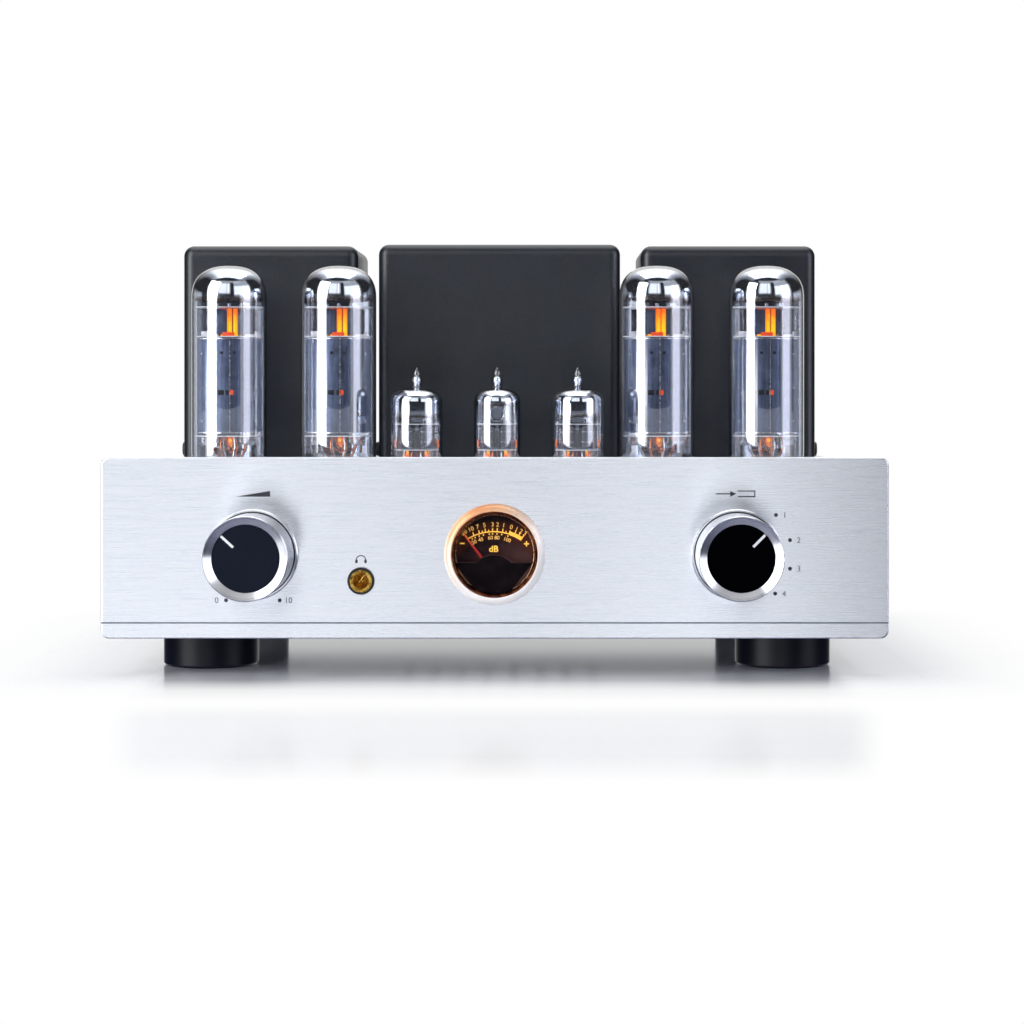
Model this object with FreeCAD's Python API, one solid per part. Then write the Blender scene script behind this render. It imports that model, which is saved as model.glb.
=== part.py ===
import FreeCAD, Part
import math
import os

# A tube integrated amplifier. X runs to the right as seen from the front, Y to the rear, Z up.
# Lengths are in millimetres. While modelling, Y is 0 at the faceplate's front, and Z is 0 at the
# soles of the feet. The finished pieces are shifted along Y, so that the whole stands centred.

# Clearances
RUN = 0.05
FIT = 0.15
LOOSE = 0.3

# Chassis and feet
SHEET = 1.5
BOTTOM_T = 1.2
CHASSIS_H = 66.8
FLANGE = 12.0
DECK_EDGE_R = 1.2
SIDE_MARGIN = 11.8
REAR_MARGIN = 44.0
FOOT_D = 40.0
FOOT_H = 16.0
FOOT_CHAMFER = 1.0
FOOT_FROM_END = 45.0
FOOT_FROM_SIDE = 32.0
VENT_W = 4.0
VENT_L = 44.0
VENT_PITCH = 12.0
VENTS_IN_ROW = 8

# Screws and nuts
M3 = 3.0
M4 = 4.0
M5 = 5.0
HEAD_TO_SHANK = 1.9
HEAD_H_TO_SHANK = 0.62
SCREW_GRIP = 5.0
SCREW_EDGE = 6.5

# Faceplate
FACE_SIDE = 7.0
FACE_H = 73.5
FACE_T = 8.0
FACE_HANG = 0.8
FACE_CORNER_R = 3.2
FACE_EDGE_R = 0.7
GROOVE_UP = 6.1
GROOVE_W = 0.6
GROOVE_DEEP = 0.6
FACE_SCREW_IN_X = 70.0
FACE_SCREW_LOW = 12.0
FACE_SCREW_HIGH = 60.0

# Knobs and the controls behind them
CONTROL_FROM_SIDE = 54.8
CONTROL_UP = 34.2
KNOB_D = 34.0
KNOB_REACH = 27.0
KNOB_GAP = 0.8
KNOB_RIM = 0.35
KNOB_BORE_DEEP = 15.0
RING_D = 37.0
RING_T = 2.5
RING_CHAMFER = 0.5
INSERT_D = 27.1
INSERT_T = 2.0
INSERT_SINK = 2.2
SHAFT_D = 6.0
BUSHING_D = 8.0
NUT_ACROSS = 11.0
NUT_T = 2.0
POCKET_D = 18.0
POCKET_WEB = 2.5
POT_D = 24.0
POT_L = 14.0
SELECTOR_D = 27.0
SELECTOR_L = 18.0
LUG_W = 2.0
LUG_T = 0.8
LUG_L = 5.0
SHAFT_IN = 10.0

# Level meter
BEZEL_D = 41.0
BEZEL_PROUD = 3.0
BEZEL_ROUND = 2.5
MOUTH_D = 35.0
SLEEVE_D = 37.0
SEAT_D = 33.2
WINDOW_D = 31.0
METER_DEEP = 7.0
GLASS_SINK = 0.8
GLASS_T = 1.2
DIAL_T = 0.6
MASK_AHEAD = 2.4
MASK_T = 0.6
MASK_EDGE_DOWN = 3.3
MASK_BUMP_W = 15.3
MASK_BUMP_H = 3.0
MASK_POST_D = 2.0
MASK_POST_X = 11.0
METER_CAN_L = 22.0
METER_CAN_T = 1.0
MAGNET_W = 16.0
MAGNET_L = 12.0
STUD_L = 5.0
PIVOT_DOWN = 8.7
PIVOT_D = 1.0
HUB_D = 3.2
NEEDLE_L = 20.6
NEEDLE_TAIL = 4.5
NEEDLE_ROOT_W = 0.9
NEEDLE_TIP_W = 0.5
NEEDLE_T = 0.3
NEEDLE_AHEAD = 0.9
NEEDLE_REST = -37.0
COIL_W = 12.0
COIL_H = 4.0
COIL_L = 3.5

# Headphone jack
JACK_FROM_VOLUME = 43.9
JACK_UP = 23.4
JACK_BORE_D = 6.4
JACK_BUSHING_D = 9.0
JACK_PROUD = 1.4
JACK_WASHER_D = 11.0
JACK_WASHER_T = 0.8
JACK_BODY_W = 15.0
JACK_BODY_H = 13.0
JACK_BODY_L = 21.0

# Power tubes and their sockets
BULB_D = 32.4
BULB_WALL = 1.0
POWER_TUBE_H = 98.0
POWER_TAPER = 1.0
POWER_TAPER_H = 15.0
POWER_SHOULDER_H = 8.2
POWER_CROWN_D = 19.0
POWER_CROWN_H = 1.2
BASE_D = 33.6
BASE_H = 14.6
BASE_WALL = 1.4
BASE_SUNK = 12.4
BASE_HOLE_GAP = 2.2
OCTAL_PINS = 8
OCTAL_PIN_D = 2.4
OCTAL_PIN_L = 11.0
OCTAL_CIRCLE_D = 17.45
KEY_D = 7.9
KEY_L = 12.0
OCTAL_SOCKET_D = 32.0
OCTAL_SOCKET_H = 14.0
SOCKET_LAND = 0.5
INNER_TUBE_X = 68.7
TUBE_PITCH = 47.3
POWER_BEHIND_SMALL = 15.0
STEM_H = 10.0
STEM_D = 13.0
LOWER_MICA_UP = 25.1
ANODE_H = 41.9
ANODE_W = 27.0
ANODE_PANEL_W = 15.0
ANODE_DEPTH = 13.0
FIN_T = 1.6
TOP_MICA_UP = 79.8
MICA_T = 0.5
CATHODE_D = 2.4
POST_D = 1.0
RADIATOR_W = 6.0
RADIATOR_H = 9.0
RADIATOR_T = 0.5
GETTER_D = 11.0
GETTER_UP = 3.0
WIRE_D = 0.8

# Small tubes and their sockets
SMALL_BULB_D = 22.0
MIDDLE_BULB_D = 19.8
SMALL_WALL = 0.9
SMALL_TUBE_H = 40.0
SMALL_TAPER = 0.4
SMALL_TAPER_H = 9.0
SMALL_SHOULDER_H = 5.6
SMALL_CROWN_D = 9.0
SMALL_CROWN_H = 0.7
SMALL_FLOOR_T = 2.5
TIP_D = 4.2
TIP_BARREL_H = 4.6
TIP_H = 8.5
SMALL_SUNK = 7.0
SMALL_HOLE_GAP = 2.0
SMALL_TUBE_PITCH = 34.2
NOVAL_PINS = 9
NOVAL_PIN_D = 1.02
NOVAL_PIN_L = 6.5
NOVAL_CIRCLE_D = 11.9
NOVAL_SOCKET_D = 20.0
NOVAL_STEP_D = 17.0
NOVAL_STEP_H = 7.0
SMALL_LOWER_MICA_UP = 7.0
SMALL_ANODE_H = 16.5
SMALL_ANODE_W = 7.0
SMALL_ANODE_GAP = 1.2
SMALL_TOP_MICA_UP = 24.3
SMALL_GETTER_D = 6.0
SMALL_GETTER_UP = 5.0

# Tube board
BOARD_T = 1.6
BOARD_MARGIN = 7.0
BOARD_BEHIND_CONTROLS = 4.5
SPACER_D = 6.0
SPACER_EDGE = 6.0
CAPACITOR_D = 25.0
CAPACITOR_AIR = 6.0

# Transformer covers
COVER_T = 1.2
COVER_R = 4.6
COVER_DEPTH = 68.0
COVER_GAP = 9.2
COVER_BEHIND_TUBES = 16.0
MIDDLE_COVER_W = 108.0
MIDDLE_COVER_H = 96.9
SIDE_COVER_W = 78.0
SIDE_COVER_H = 96.2
COVER_SCREW_UP = 5.2
COVER_SCREW_IN = 14.0
COVER_HEAD_D = 6.4
COVER_HEAD_H = 1.9
BRACKET_W = 14.0
BRACKET_H = 11.0
BRACKET_FOOT = 4.5

# Transformers. A lamination is 6 units wide and 5 high, with windows of 1 by 3 units.
POWER_UNIT = 15.0
POWER_STACK = 36.0
OUTPUT_UNIT = 11.0
OUTPUT_STACK = 34.0
COIL_BUILD = 0.8
COIL_AIR = 0.6
CLAMP_T = 2.0
CLAMP_REACH = 8.0
CLAMP_SCREW_X = 2.2

# Rear panel
INLET_FROM_SIDE = 41.0
INLET_Z = 50.0
INLET_W = 27.0
INLET_H = 34.0
INLET_L = 26.0
INLET_LIP = 2.5
INLET_FLANGE_T = 2.5
RECESS_W = 24.0
RECESS_H = 16.4
RECESS_DEEP = 16.0
RECESS_CUT = 4.0
RECESS_DOWN = 6.5
BLADE_W = 2.0
BLADE_H = 4.0
BLADE_SINK = 1.6
BLADE_PITCH = 14.0
BLADE_STAGGER = 4.0
DRAWER_W = 21.0
DRAWER_H = 7.0
DRAWER_L = 22.0
DRAWER_UP = 10.5
DRAWER_WALL = 1.0
DRAWER_FACE_T = 1.5
DRAWER_FACE_LIP = 0.8
FUSE_D = 5.0
FUSE_L = 19.0
POST_X = -13.0
POST_PITCH = 19.05
POST_PAIR_PITCH = 55.0
POST_Z = 50.0
POST_THREAD_D = 8.0
POST_FLANGE_D = 13.0
POST_FLANGE_T = 3.0
POST_L = 19.5
POST_BORE_D = 4.1
POST_BORE_L = 18.0
POST_TAIL_D = 5.0
POST_TAIL_L = 10.0
CAP_D = 14.0
CAP_L = 19.0
CAP_FLUTES = 12
CAP_FLUTE_D = 1.8
CAP_GAP = 1.0
CAP_LIP = 1.0
LINE_FROM_SIDE = 21.0
LINE_Z = 43.0
LINE_PITCH_X = 19.0
LINE_PITCH_Z = 16.0
LINE_COLUMNS = 3
LINE_ROWS = 2
LINE_D = 8.3
LINE_WALL = 0.5
LINE_L = 9.0
LINE_FLANGE_D = 11.0
LINE_FLANGE_T = 1.5
LINE_CORE_D = 5.0
LINE_BORE_D = 3.2
LINE_TAIL_D = 6.0
LINE_TAIL_L = 8.0
NUT_TO_TAIL = 1.7

# Mains switch, on the left side wall
ROCKER_BEHIND_WALL = 14.5
ROCKER_UP = 34.2
SWITCH_FLANGE_W = 15.0
SWITCH_FLANGE_H = 22.0
SWITCH_FLANGE_T = 2.0
SWITCH_BODY_W = 12.8
SWITCH_BODY_H = 19.2
SWITCH_BODY_L = 18.0
SWITCH_WELL_W = 10.0
SWITCH_WELL_H = 17.0
SWITCH_WELL_DEEP = 11.0
ROCKER_R = 8.2
ROCKER_PIVOT_IN = 0.4
ROCKER_MIDDLE = 1.7
ROCKER_TILT = 10.0
ROCKER_PIN_D = 2.0
ROCKER_PIN_L = 1.0

# Places that follow from the sizes above
CHASSIS_W = MIDDLE_COVER_W + 2 * (COVER_GAP + SIDE_COVER_W + SIDE_MARGIN)
HALF_W = CHASSIS_W / 2
FACE_W = CHASSIS_W + 2 * FACE_SIDE
CONTROL_X = HALF_W - CONTROL_FROM_SIDE
JACK_X = JACK_FROM_VOLUME - CONTROL_X
INLET_X = INLET_FROM_SIDE - HALF_W
FACE_BOTTOM = FOOT_H - FACE_HANG
SHELL_BOTTOM = FOOT_H + BOTTOM_T
DECK_TOP = SHELL_BOTTOM + CHASSIS_H
DECK_UNDER = DECK_TOP - SHEET
WALL_BACK = FACE_T + SHEET
CONTROL_Z = FACE_BOTTOM + CONTROL_UP
JACK_Z = FACE_BOTTOM + JACK_UP
KNOB_BACK = -RING_T - KNOB_GAP
DIAL_Y = METER_DEEP - BEZEL_PROUD
CAN_START = DIAL_Y + DIAL_T
CAN_END = CAN_START + METER_CAN_L
MASK_BACK = DIAL_Y - MASK_AHEAD + MASK_T
PIVOT_Z = CONTROL_Z - PIVOT_DOWN
CONTROLS_END = max(WALL_BACK + POT_L, WALL_BACK + SELECTOR_L, WALL_BACK + JACK_BODY_L, CAN_END + STUD_L)
BOARD_FRONT = CONTROLS_END + BOARD_BEHIND_CONTROLS
SMALL_Y = BOARD_FRONT + NOVAL_SOCKET_D / 2 + SPACER_EDGE / 2
POWER_Y = SMALL_Y + POWER_BEHIND_SMALL
POWER_HOLE_D = BASE_D + 2 * BASE_HOLE_GAP
POWER_X = (-INNER_TUBE_X - TUBE_PITCH, -INNER_TUBE_X, INNER_TUBE_X, INNER_TUBE_X + TUBE_PITCH)
SMALL_X = (-SMALL_TUBE_PITCH, 0.0, SMALL_TUBE_PITCH)
SMALL_D = (SMALL_BULB_D, MIDDLE_BULB_D, SMALL_BULB_D)
OCTAL_SEAT = DECK_TOP - BASE_SUNK
NOVAL_SEAT = DECK_TOP - SMALL_SUNK
BOARD_TOP = OCTAL_SEAT - OCTAL_SOCKET_H
BOARD_BACK = POWER_Y + OCTAL_SOCKET_D / 2 + BOARD_MARGIN
BOARD_HALF_W = POWER_X[3] + OCTAL_SOCKET_D / 2 + BOARD_MARGIN
SPACER_X = (BOARD_HALF_W - SPACER_EDGE, (INNER_TUBE_X + SMALL_TUBE_PITCH) / 2)
SPACER_Y = (BOARD_FRONT + SPACER_EDGE, BOARD_BACK - SPACER_EDGE)
COVER_FRONT = POWER_Y + POWER_HOLE_D / 2 + COVER_BEHIND_TUBES
COVER_BACK = COVER_FRONT + COVER_DEPTH
COVER_MID_Y = COVER_FRONT + COVER_DEPTH / 2
SIDE_COVER_X = MIDDLE_COVER_W / 2 + COVER_GAP + SIDE_COVER_W / 2
BODY_DEPTH = COVER_BACK + REAR_MARGIN
PANEL_FRONT = BODY_DEPTH - SHEET
CAP_END = BODY_DEPTH + POST_FLANGE_T + CAP_GAP + CAP_L
Y_MID = (CAP_END - KNOB_REACH) / 2
FOOT_X = HALF_W - FOOT_FROM_SIDE
FOOT_Y = (FOOT_FROM_END, BODY_DEPTH - FOOT_FROM_END)
EDGE_SCREW_X = HALF_W - SCREW_EDGE
FACE_SCREW_X = (FACE_SCREW_IN_X, HALF_W - FLANGE)
FACE_SCREW_Z = (FACE_BOTTOM + FACE_SCREW_LOW, FACE_BOTTOM + FACE_SCREW_HIGH)
ROCKER_BACK = WALL_BACK + ROCKER_BEHIND_WALL
ROCKER_Z = FACE_BOTTOM + ROCKER_UP
LINE_X = HALF_W - LINE_FROM_SIDE - (LINE_COLUMNS - 1) * LINE_PITCH_X


def vec(x, y, z):
    return FreeCAD.Vector(x, y, z)


def box(x0, x1, y0, y1, z0, z1):
    return Part.makeBox(x1 - x0, y1 - y0, z1 - z0, vec(x0, y0, z0))


def rod_x(x0, x1, y, z, d):
    return Part.makeCylinder(d / 2, x1 - x0, vec(x0, y, z), vec(1, 0, 0))


def rod_y(x, y0, y1, z, d):
    return Part.makeCylinder(d / 2, y1 - y0, vec(x, y0, z), vec(0, 1, 0))


def rod_z(x, y, z0, z1, d):
    return Part.makeCylinder(d / 2, z1 - z0, vec(x, y, z0), vec(0, 0, 1))


def turned(corners, place, axis):
    """A solid of revolution. Each corner is (radius, height along the axis from place)."""
    points = [vec(r, 0, h) for r, h in corners]
    face = Part.Face(Part.makePolygon(points + points[:1]))
    solid = face.revolve(vec(0, 0, 0), vec(0, 0, 1), 360)
    if axis == "y":
        solid.rotate(vec(0, 0, 0), vec(1, 0, 0), -90)
    solid.translate(place)
    return solid


def extruded(corners, along):
    """A prism on the closed outline of the given points."""
    return Part.Face(Part.makePolygon(corners + corners[:1])).extrude(along)


def rounded_plate(x, z, w, h, y0, y1, r):
    """A plate across Y with four round corners."""
    plate = box(x - w / 2, x + w / 2, y0, y1, z - h / 2, z + h / 2)
    corners = [e for e in plate.Edges if abs(e.tangentAt(e.FirstParameter).y) > 0.9]
    return plate.makeFillet(r, corners)


def hexagon(x, z, y0, y1, across):
    """A hexagonal nut blank along Y."""
    corner = across / math.sqrt(3)
    turns = [math.radians(60 * i) for i in range(6)]
    points = [vec(x + corner * math.cos(t), y0, z + corner * math.sin(t)) for t in turns]
    return extruded(points, vec(0, y1 - y0, 0))


def screw(tip, head_side, shank_d, length, head_d=0.0, head_h=0.0):
    """A screw whose shank starts at tip and runs to its head, which stands beyond head_side."""
    head_d = head_d or shank_d * HEAD_TO_SHANK
    head_h = head_h or shank_d * HEAD_H_TO_SHANK
    shank = Part.makeCylinder(shank_d / 2, length, tip, head_side)
    seat = tip + FreeCAD.Vector(head_side).multiply(length)
    head = Part.makeCylinder(head_d / 2, head_h, seat, head_side)
    rim = [e for e in head.Edges if abs((e.BoundBox.Center - seat).dot(head_side) - head_h) < 0.01]
    head = head.makeFillet(head_h * 0.45, [e for e in rim if e.Closed and len(e.Vertexes) == 1][:1])
    slot_seat = seat + FreeCAD.Vector(head_side).multiply(head_h * 0.4)
    drive = Part.makeCylinder(shank_d * 0.33, head_h, slot_seat, head_side)
    return shank.fuse(head).cut(drive)


def cut_all(shape, tools):
    return shape.cut(Part.makeCompound(tools)) if tools else shape


def ring_points(count, circle_d, x, y):
    """Places on a circle about (x, y), the first one behind the axis."""
    turns = [2 * math.pi * i / count for i in range(count)]
    return [(x + circle_d / 2 * math.sin(t), y + circle_d / 2 * math.cos(t)) for t in turns]


def mirrored(xs):
    return [side * x for x in xs for side in (-1, 1)]


# Chassis


def bracket_places():
    """(x of the bracket's outer face, side it faces) for every wall of a cover that is screwed on."""
    places = []
    for centre, width in ((-SIDE_COVER_X, SIDE_COVER_W), (0.0, MIDDLE_COVER_W), (SIDE_COVER_X, SIDE_COVER_W)):
        for side in (-1, 1):
            places.append((centre + side * (width / 2 - COVER_T - FIT), side))
    return places


def bracket_y():
    return (COVER_FRONT + COVER_SCREW_IN, COVER_BACK - COVER_SCREW_IN)


def transformer_screws():
    """Places of the screws that hold the transformer clamps to the deck."""
    places = []
    for x, unit, stack in ((-SIDE_COVER_X, OUTPUT_UNIT, OUTPUT_STACK),
                           (0.0, POWER_UNIT, POWER_STACK),
                           (SIDE_COVER_X, OUTPUT_UNIT, OUTPUT_STACK)):
        reach = stack / 2 + CLAMP_REACH / 2
        for side_x in (-1, 1):
            for side_y in (-1, 1):
                places.append((x + side_x * unit * CLAMP_SCREW_X, COVER_MID_Y + side_y * reach))
    return places


def spacer_places():
    return [(x, y) for x in mirrored(SPACER_X) for y in SPACER_Y]


def face_screw_places():
    return [(x, z) for x in mirrored(FACE_SCREW_X) for z in FACE_SCREW_Z]


def rear_screw_places():
    low = SHELL_BOTTOM + 2 * FLANGE
    high = DECK_TOP - SCREW_EDGE
    sides = [(x, z) for x in mirrored((EDGE_SCREW_X,)) for z in (low, high)]
    return sides + [(x, high) for x in mirrored((EDGE_SCREW_X / 3,))]


def bottom_screw_places():
    front = FACE_T + SCREW_EDGE
    middle = (FACE_T + BODY_DEPTH) / 2
    rear = BODY_DEPTH - 3 * SCREW_EDGE
    return [(x, y) for x in mirrored((EDGE_SCREW_X,)) for y in (front, middle, rear)]


def foot_places():
    return [(x, y) for x in mirrored((FOOT_X,)) for y in FOOT_Y]


def chassis_deck():
    """The deck sheet, with a lip folded down at the rear for the rear panel's screws."""
    deck = box(-HALF_W, HALF_W, FACE_T, PANEL_FRONT, DECK_UNDER, DECK_TOP)
    ends = [e for e in deck.Edges
            if abs(e.BoundBox.Center.z - DECK_TOP) < 0.01 and abs(abs(e.BoundBox.Center.x) - HALF_W) < 0.01]
    deck = deck.makeFillet(DECK_EDGE_R, ends)
    inner_x = HALF_W - SHEET
    lip = box(-inner_x, inner_x, PANEL_FRONT - SHEET, PANEL_FRONT, DECK_TOP - FLANGE, DECK_UNDER)
    holes = [rod_z(x, POWER_Y, DECK_UNDER - 1, DECK_TOP + 1, POWER_HOLE_D) for x in POWER_X]
    for x, d in zip(SMALL_X, SMALL_D):
        holes.append(rod_z(x, SMALL_Y, DECK_UNDER - 1, DECK_TOP + 1, d + 2 * SMALL_HOLE_GAP))
    for x, y in transformer_screws():
        holes.append(rod_z(x, y, DECK_UNDER - 1, DECK_TOP + 1, M4 + 2 * FIT))
    return cut_all(deck.fuse(lip), holes + rear_screw_holes())


def rear_screw_holes():
    return [rod_y(x, PANEL_FRONT - SHEET - 1, PANEL_FRONT + 1, z, M3 + 2 * RUN) for x, z in rear_screw_places()]


def bottom_screw_holes():
    return [rod_z(x, y, SHELL_BOTTOM - 1, SHELL_BOTTOM + SHEET + 1, M3 + 2 * RUN) for x, y in bottom_screw_places()]


def side_wall(side):
    """A side wall under the deck, with flanges folded inwards at its foot and its rear end."""
    outer_x = side * HALF_W
    inner_x = side * (HALF_W - SHEET)
    flange_x = side * (HALF_W - FLANGE)
    wall = sorted((outer_x, inner_x))
    fold = sorted((inner_x, flange_x))
    sheet = box(wall[0], wall[1], FACE_T, PANEL_FRONT, SHELL_BOTTOM, DECK_UNDER)
    foot = box(fold[0], fold[1], WALL_BACK, PANEL_FRONT, SHELL_BOTTOM, SHELL_BOTTOM + SHEET)
    rear = box(fold[0], fold[1], PANEL_FRONT - SHEET, PANEL_FRONT, SHELL_BOTTOM, DECK_TOP - FLANGE)
    holes = rear_screw_holes() + bottom_screw_holes()
    if side < 0:
        half_w = SWITCH_BODY_W / 2 + FIT
        half_h = SWITCH_BODY_H / 2 + FIT
        holes.append(box(outer_x - 1, inner_x + 1, ROCKER_BACK - half_w, ROCKER_BACK + half_w,
                         ROCKER_Z - half_h, ROCKER_Z + half_h))
    return cut_all(sheet.fuse([foot, rear]), holes)


def front_wall():
    """The wall behind the faceplate, with a flange folded back at its foot."""
    inner_x = HALF_W - SHEET
    sheet = box(-inner_x, inner_x, FACE_T, WALL_BACK, SHELL_BOTTOM, DECK_UNDER)
    foot_x = HALF_W - FLANGE
    foot = box(-foot_x, foot_x, WALL_BACK, FACE_T + FLANGE, SHELL_BOTTOM, SHELL_BOTTOM + SHEET)
    holes = bottom_screw_holes()
    for x, z in face_screw_places():
        holes.append(rod_y(x, FACE_T - 1, WALL_BACK + 1, z, M4 + 2 * FIT))
    for x in (-CONTROL_X, CONTROL_X):
        holes.append(rod_y(x, FACE_T - 1, WALL_BACK + 1, CONTROL_Z, BUSHING_D + 2 * FIT))
    holes.append(rod_y(0.0, FACE_T - 1, WALL_BACK + 1, CONTROL_Z, SLEEVE_D + 2 * FIT))
    holes.append(rod_y(JACK_X, FACE_T - 1, WALL_BACK + 1, JACK_Z, JACK_BUSHING_D + 2 * FIT))
    return cut_all(sheet.fuse(foot), holes)


def board_spacers():
    """Threaded spacers pressed into the deck, which carry the tube board."""
    spacers = []
    for x, y in spacer_places():
        spacer = rod_z(x, y, BOARD_TOP, DECK_UNDER, SPACER_D)
        spacers.append(spacer.cut(rod_z(x, y, BOARD_TOP - 1, BOARD_TOP + SCREW_GRIP + 1, M3 + 2 * RUN)))
    return spacers


def rear_panel():
    panel = box(-HALF_W, HALF_W, PANEL_FRONT, BODY_DEPTH, SHELL_BOTTOM, DECK_TOP)
    y0 = PANEL_FRONT - 1
    y1 = BODY_DEPTH + 1
    half_w = INLET_W / 2 + FIT
    half_h = INLET_H / 2 + FIT
    holes = [box(INLET_X - half_w, INLET_X + half_w, y0, y1, INLET_Z - half_h, INLET_Z + half_h)]
    holes += [rod_y(x, y0, y1, z, M3 + 2 * FIT) for x, z in rear_screw_places()]
    holes += [rod_y(x, y0, y1, POST_Z, POST_TAIL_D + 2 * FIT) for x in post_places()]
    holes += [rod_y(x, y0, y1, z, LINE_TAIL_D + 2 * FIT) for x, z in line_places()]
    return cut_all(panel, holes)


def bottom_cover():
    plate = box(-HALF_W, HALF_W, FACE_T, BODY_DEPTH, FOOT_H, SHELL_BOTTOM)
    z0 = FOOT_H - 1
    z1 = SHELL_BOTTOM + 1
    holes = [rod_z(x, y, z0, z1, M3 + 2 * FIT) for x, y in bottom_screw_places()]
    holes += [rod_z(x, y, z0, z1, M5 + 2 * FIT) for x, y in foot_places()]
    for y in (POWER_Y, COVER_MID_Y):
        for i in range(VENTS_IN_ROW):
            x = (i - (VENTS_IN_ROW - 1) / 2) * VENT_PITCH
            slot = box(x - VENT_W / 2, x + VENT_W / 2, y - VENT_L / 2, y + VENT_L / 2, z0, z1)
            corners = [e for e in slot.Edges if abs(e.tangentAt(e.FirstParameter).z) > 0.9]
            holes.append(slot.makeFillet(VENT_W * 0.49, corners))
    return cut_all(plate, holes)


def feet():
    r = FOOT_D / 2
    profile = [(0, 0), (r - FOOT_CHAMFER, 0), (r, FOOT_CHAMFER), (r, FOOT_H), (0, FOOT_H)]
    blanks = [turned(profile, vec(x, y, 0), "z") for x, y in foot_places()]
    solids = []
    for blank, (x, y) in zip(blanks, foot_places()):
        well = rod_z(x, y, -1, FOOT_H / 2, M5 * HEAD_TO_SHANK + 2 * LOOSE)
        hole = rod_z(x, y, FOOT_H / 2 - 1, FOOT_H + 1, M5 + 2 * FIT)
        solids.append(blank.cut(well).cut(hole))
    return solids


def chassis_screws():
    up = vec(0, 0, 1)
    down = vec(0, 0, -1)
    rear = vec(0, 1, 0)
    solids = []
    nut_t = 0.8 * M5
    for x, y in foot_places():
        top = SHELL_BOTTOM + nut_t + 1
        solids.append(screw(vec(x, y, top), down, M5, top - FOOT_H / 2))
        nut = rod_z(x, y, SHELL_BOTTOM, SHELL_BOTTOM + nut_t, 1.8 * M5)
        solids.append(nut.cut(rod_z(x, y, SHELL_BOTTOM - 1, top, M5 + 2 * RUN)))
    for x, y in bottom_screw_places():
        solids.append(screw(vec(x, y, SHELL_BOTTOM + SCREW_GRIP), down, M3, BOTTOM_T + SCREW_GRIP))
    for x, z in rear_screw_places():
        solids.append(screw(vec(x, BODY_DEPTH - SHEET - SCREW_GRIP, z), rear, M3, SHEET + SCREW_GRIP))
    for x, z in face_screw_places():
        solids.append(screw(vec(x, FACE_T - SCREW_GRIP, z), rear, M4, SHEET + SCREW_GRIP))
    for x, y in spacer_places():
        solids.append(screw(vec(x, y, BOARD_TOP + SCREW_GRIP), down, M3, BOARD_T + SCREW_GRIP))
    for x, y in transformer_screws():
        top = DECK_TOP + CLAMP_T
        solids.append(screw(vec(x, y, DECK_UNDER - SCREW_GRIP), up, M4, top - DECK_UNDER + SCREW_GRIP))
        nut = rod_z(x, y, DECK_UNDER - 0.8 * M4, DECK_UNDER, 1.8 * M4)
        solids.append(nut.cut(rod_z(x, y, DECK_UNDER - M4, DECK_TOP, M4 + 2 * RUN)))
    return solids


def faceplate():
    mid_z = FACE_BOTTOM + FACE_H / 2
    plate = rounded_plate(0.0, mid_z, FACE_W, FACE_H, 0.0, FACE_T, FACE_CORNER_R)
    front = [e for e in plate.Edges if e.BoundBox.YMax < 0.01]
    plate = plate.makeFillet(FACE_EDGE_R, front)
    z = FACE_BOTTOM + GROOVE_UP
    holes = [box(-FACE_W, FACE_W, -1, GROOVE_DEEP, z, z + GROOVE_W)]
    for x in (-CONTROL_X, CONTROL_X):
        holes.append(rod_y(x, -1, FACE_T + 1, CONTROL_Z, BUSHING_D + 2 * FIT))
        holes.append(rod_y(x, POCKET_WEB, FACE_T + 1, CONTROL_Z, POCKET_D))
    holes.append(rod_y(0.0, -1, FACE_T + 1, CONTROL_Z, SLEEVE_D + 2 * FIT))
    holes.append(rod_y(JACK_X, -1, FACE_T + 1, JACK_Z, JACK_BUSHING_D + 2 * FIT))
    for x, z in face_screw_places():
        holes.append(rod_y(x, FACE_T - SCREW_GRIP - FIT, FACE_T + 1, z, M4 + 2 * RUN))
    return cut_all(plate, holes)


# Knobs and the controls behind them


def knob(x):
    r = KNOB_D / 2
    seat_y = INSERT_SINK + INSERT_T - KNOB_REACH
    back = KNOB_BACK
    bore_r = SHAFT_D / 2 + RUN
    bore_end = back - KNOB_BORE_DEEP
    pocket_r = INSERT_D / 2 + RUN
    corners = [(0, seat_y), (pocket_r, seat_y), (pocket_r, INSERT_SINK - KNOB_REACH), (r - KNOB_RIM, -KNOB_REACH),
               (r, KNOB_RIM - KNOB_REACH), (r, back), (bore_r, back), (bore_r, bore_end), (0, bore_end)]
    body = turned(corners, vec(x, 0, CONTROL_Z), "y")
    # Grub screw, on the underside
    y = back - M4
    low = CONTROL_Z - r
    hole = rod_z(x, y, low - 1, CONTROL_Z - bore_r + RUN, M3 + 2 * RUN)
    grub = rod_z(x, y, CONTROL_Z - SHAFT_D / 2 - SCREW_GRIP, CONTROL_Z - bore_r, M3)
    return [body.cut(hole), grub]


def knob_insert(x):
    y = INSERT_SINK - KNOB_REACH
    return rod_y(x, y, y + INSERT_T, CONTROL_Z, INSERT_D)


def knob_rings():
    r = RING_D / 2
    hole = BUSHING_D / 2 + FIT
    corners = [(hole, 0), (hole, -RING_T), (r - RING_CHAMFER, -RING_T), (r, RING_CHAMFER - RING_T), (r, 0)]
    return [turned(corners, vec(x, 0, CONTROL_Z), "y") for x in (-CONTROL_X, CONTROL_X)]


def control_shaft(x):
    front = KNOB_BACK - KNOB_BORE_DEEP + RUN
    return rod_y(x, front, WALL_BACK + SHAFT_IN, CONTROL_Z, SHAFT_D)


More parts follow.
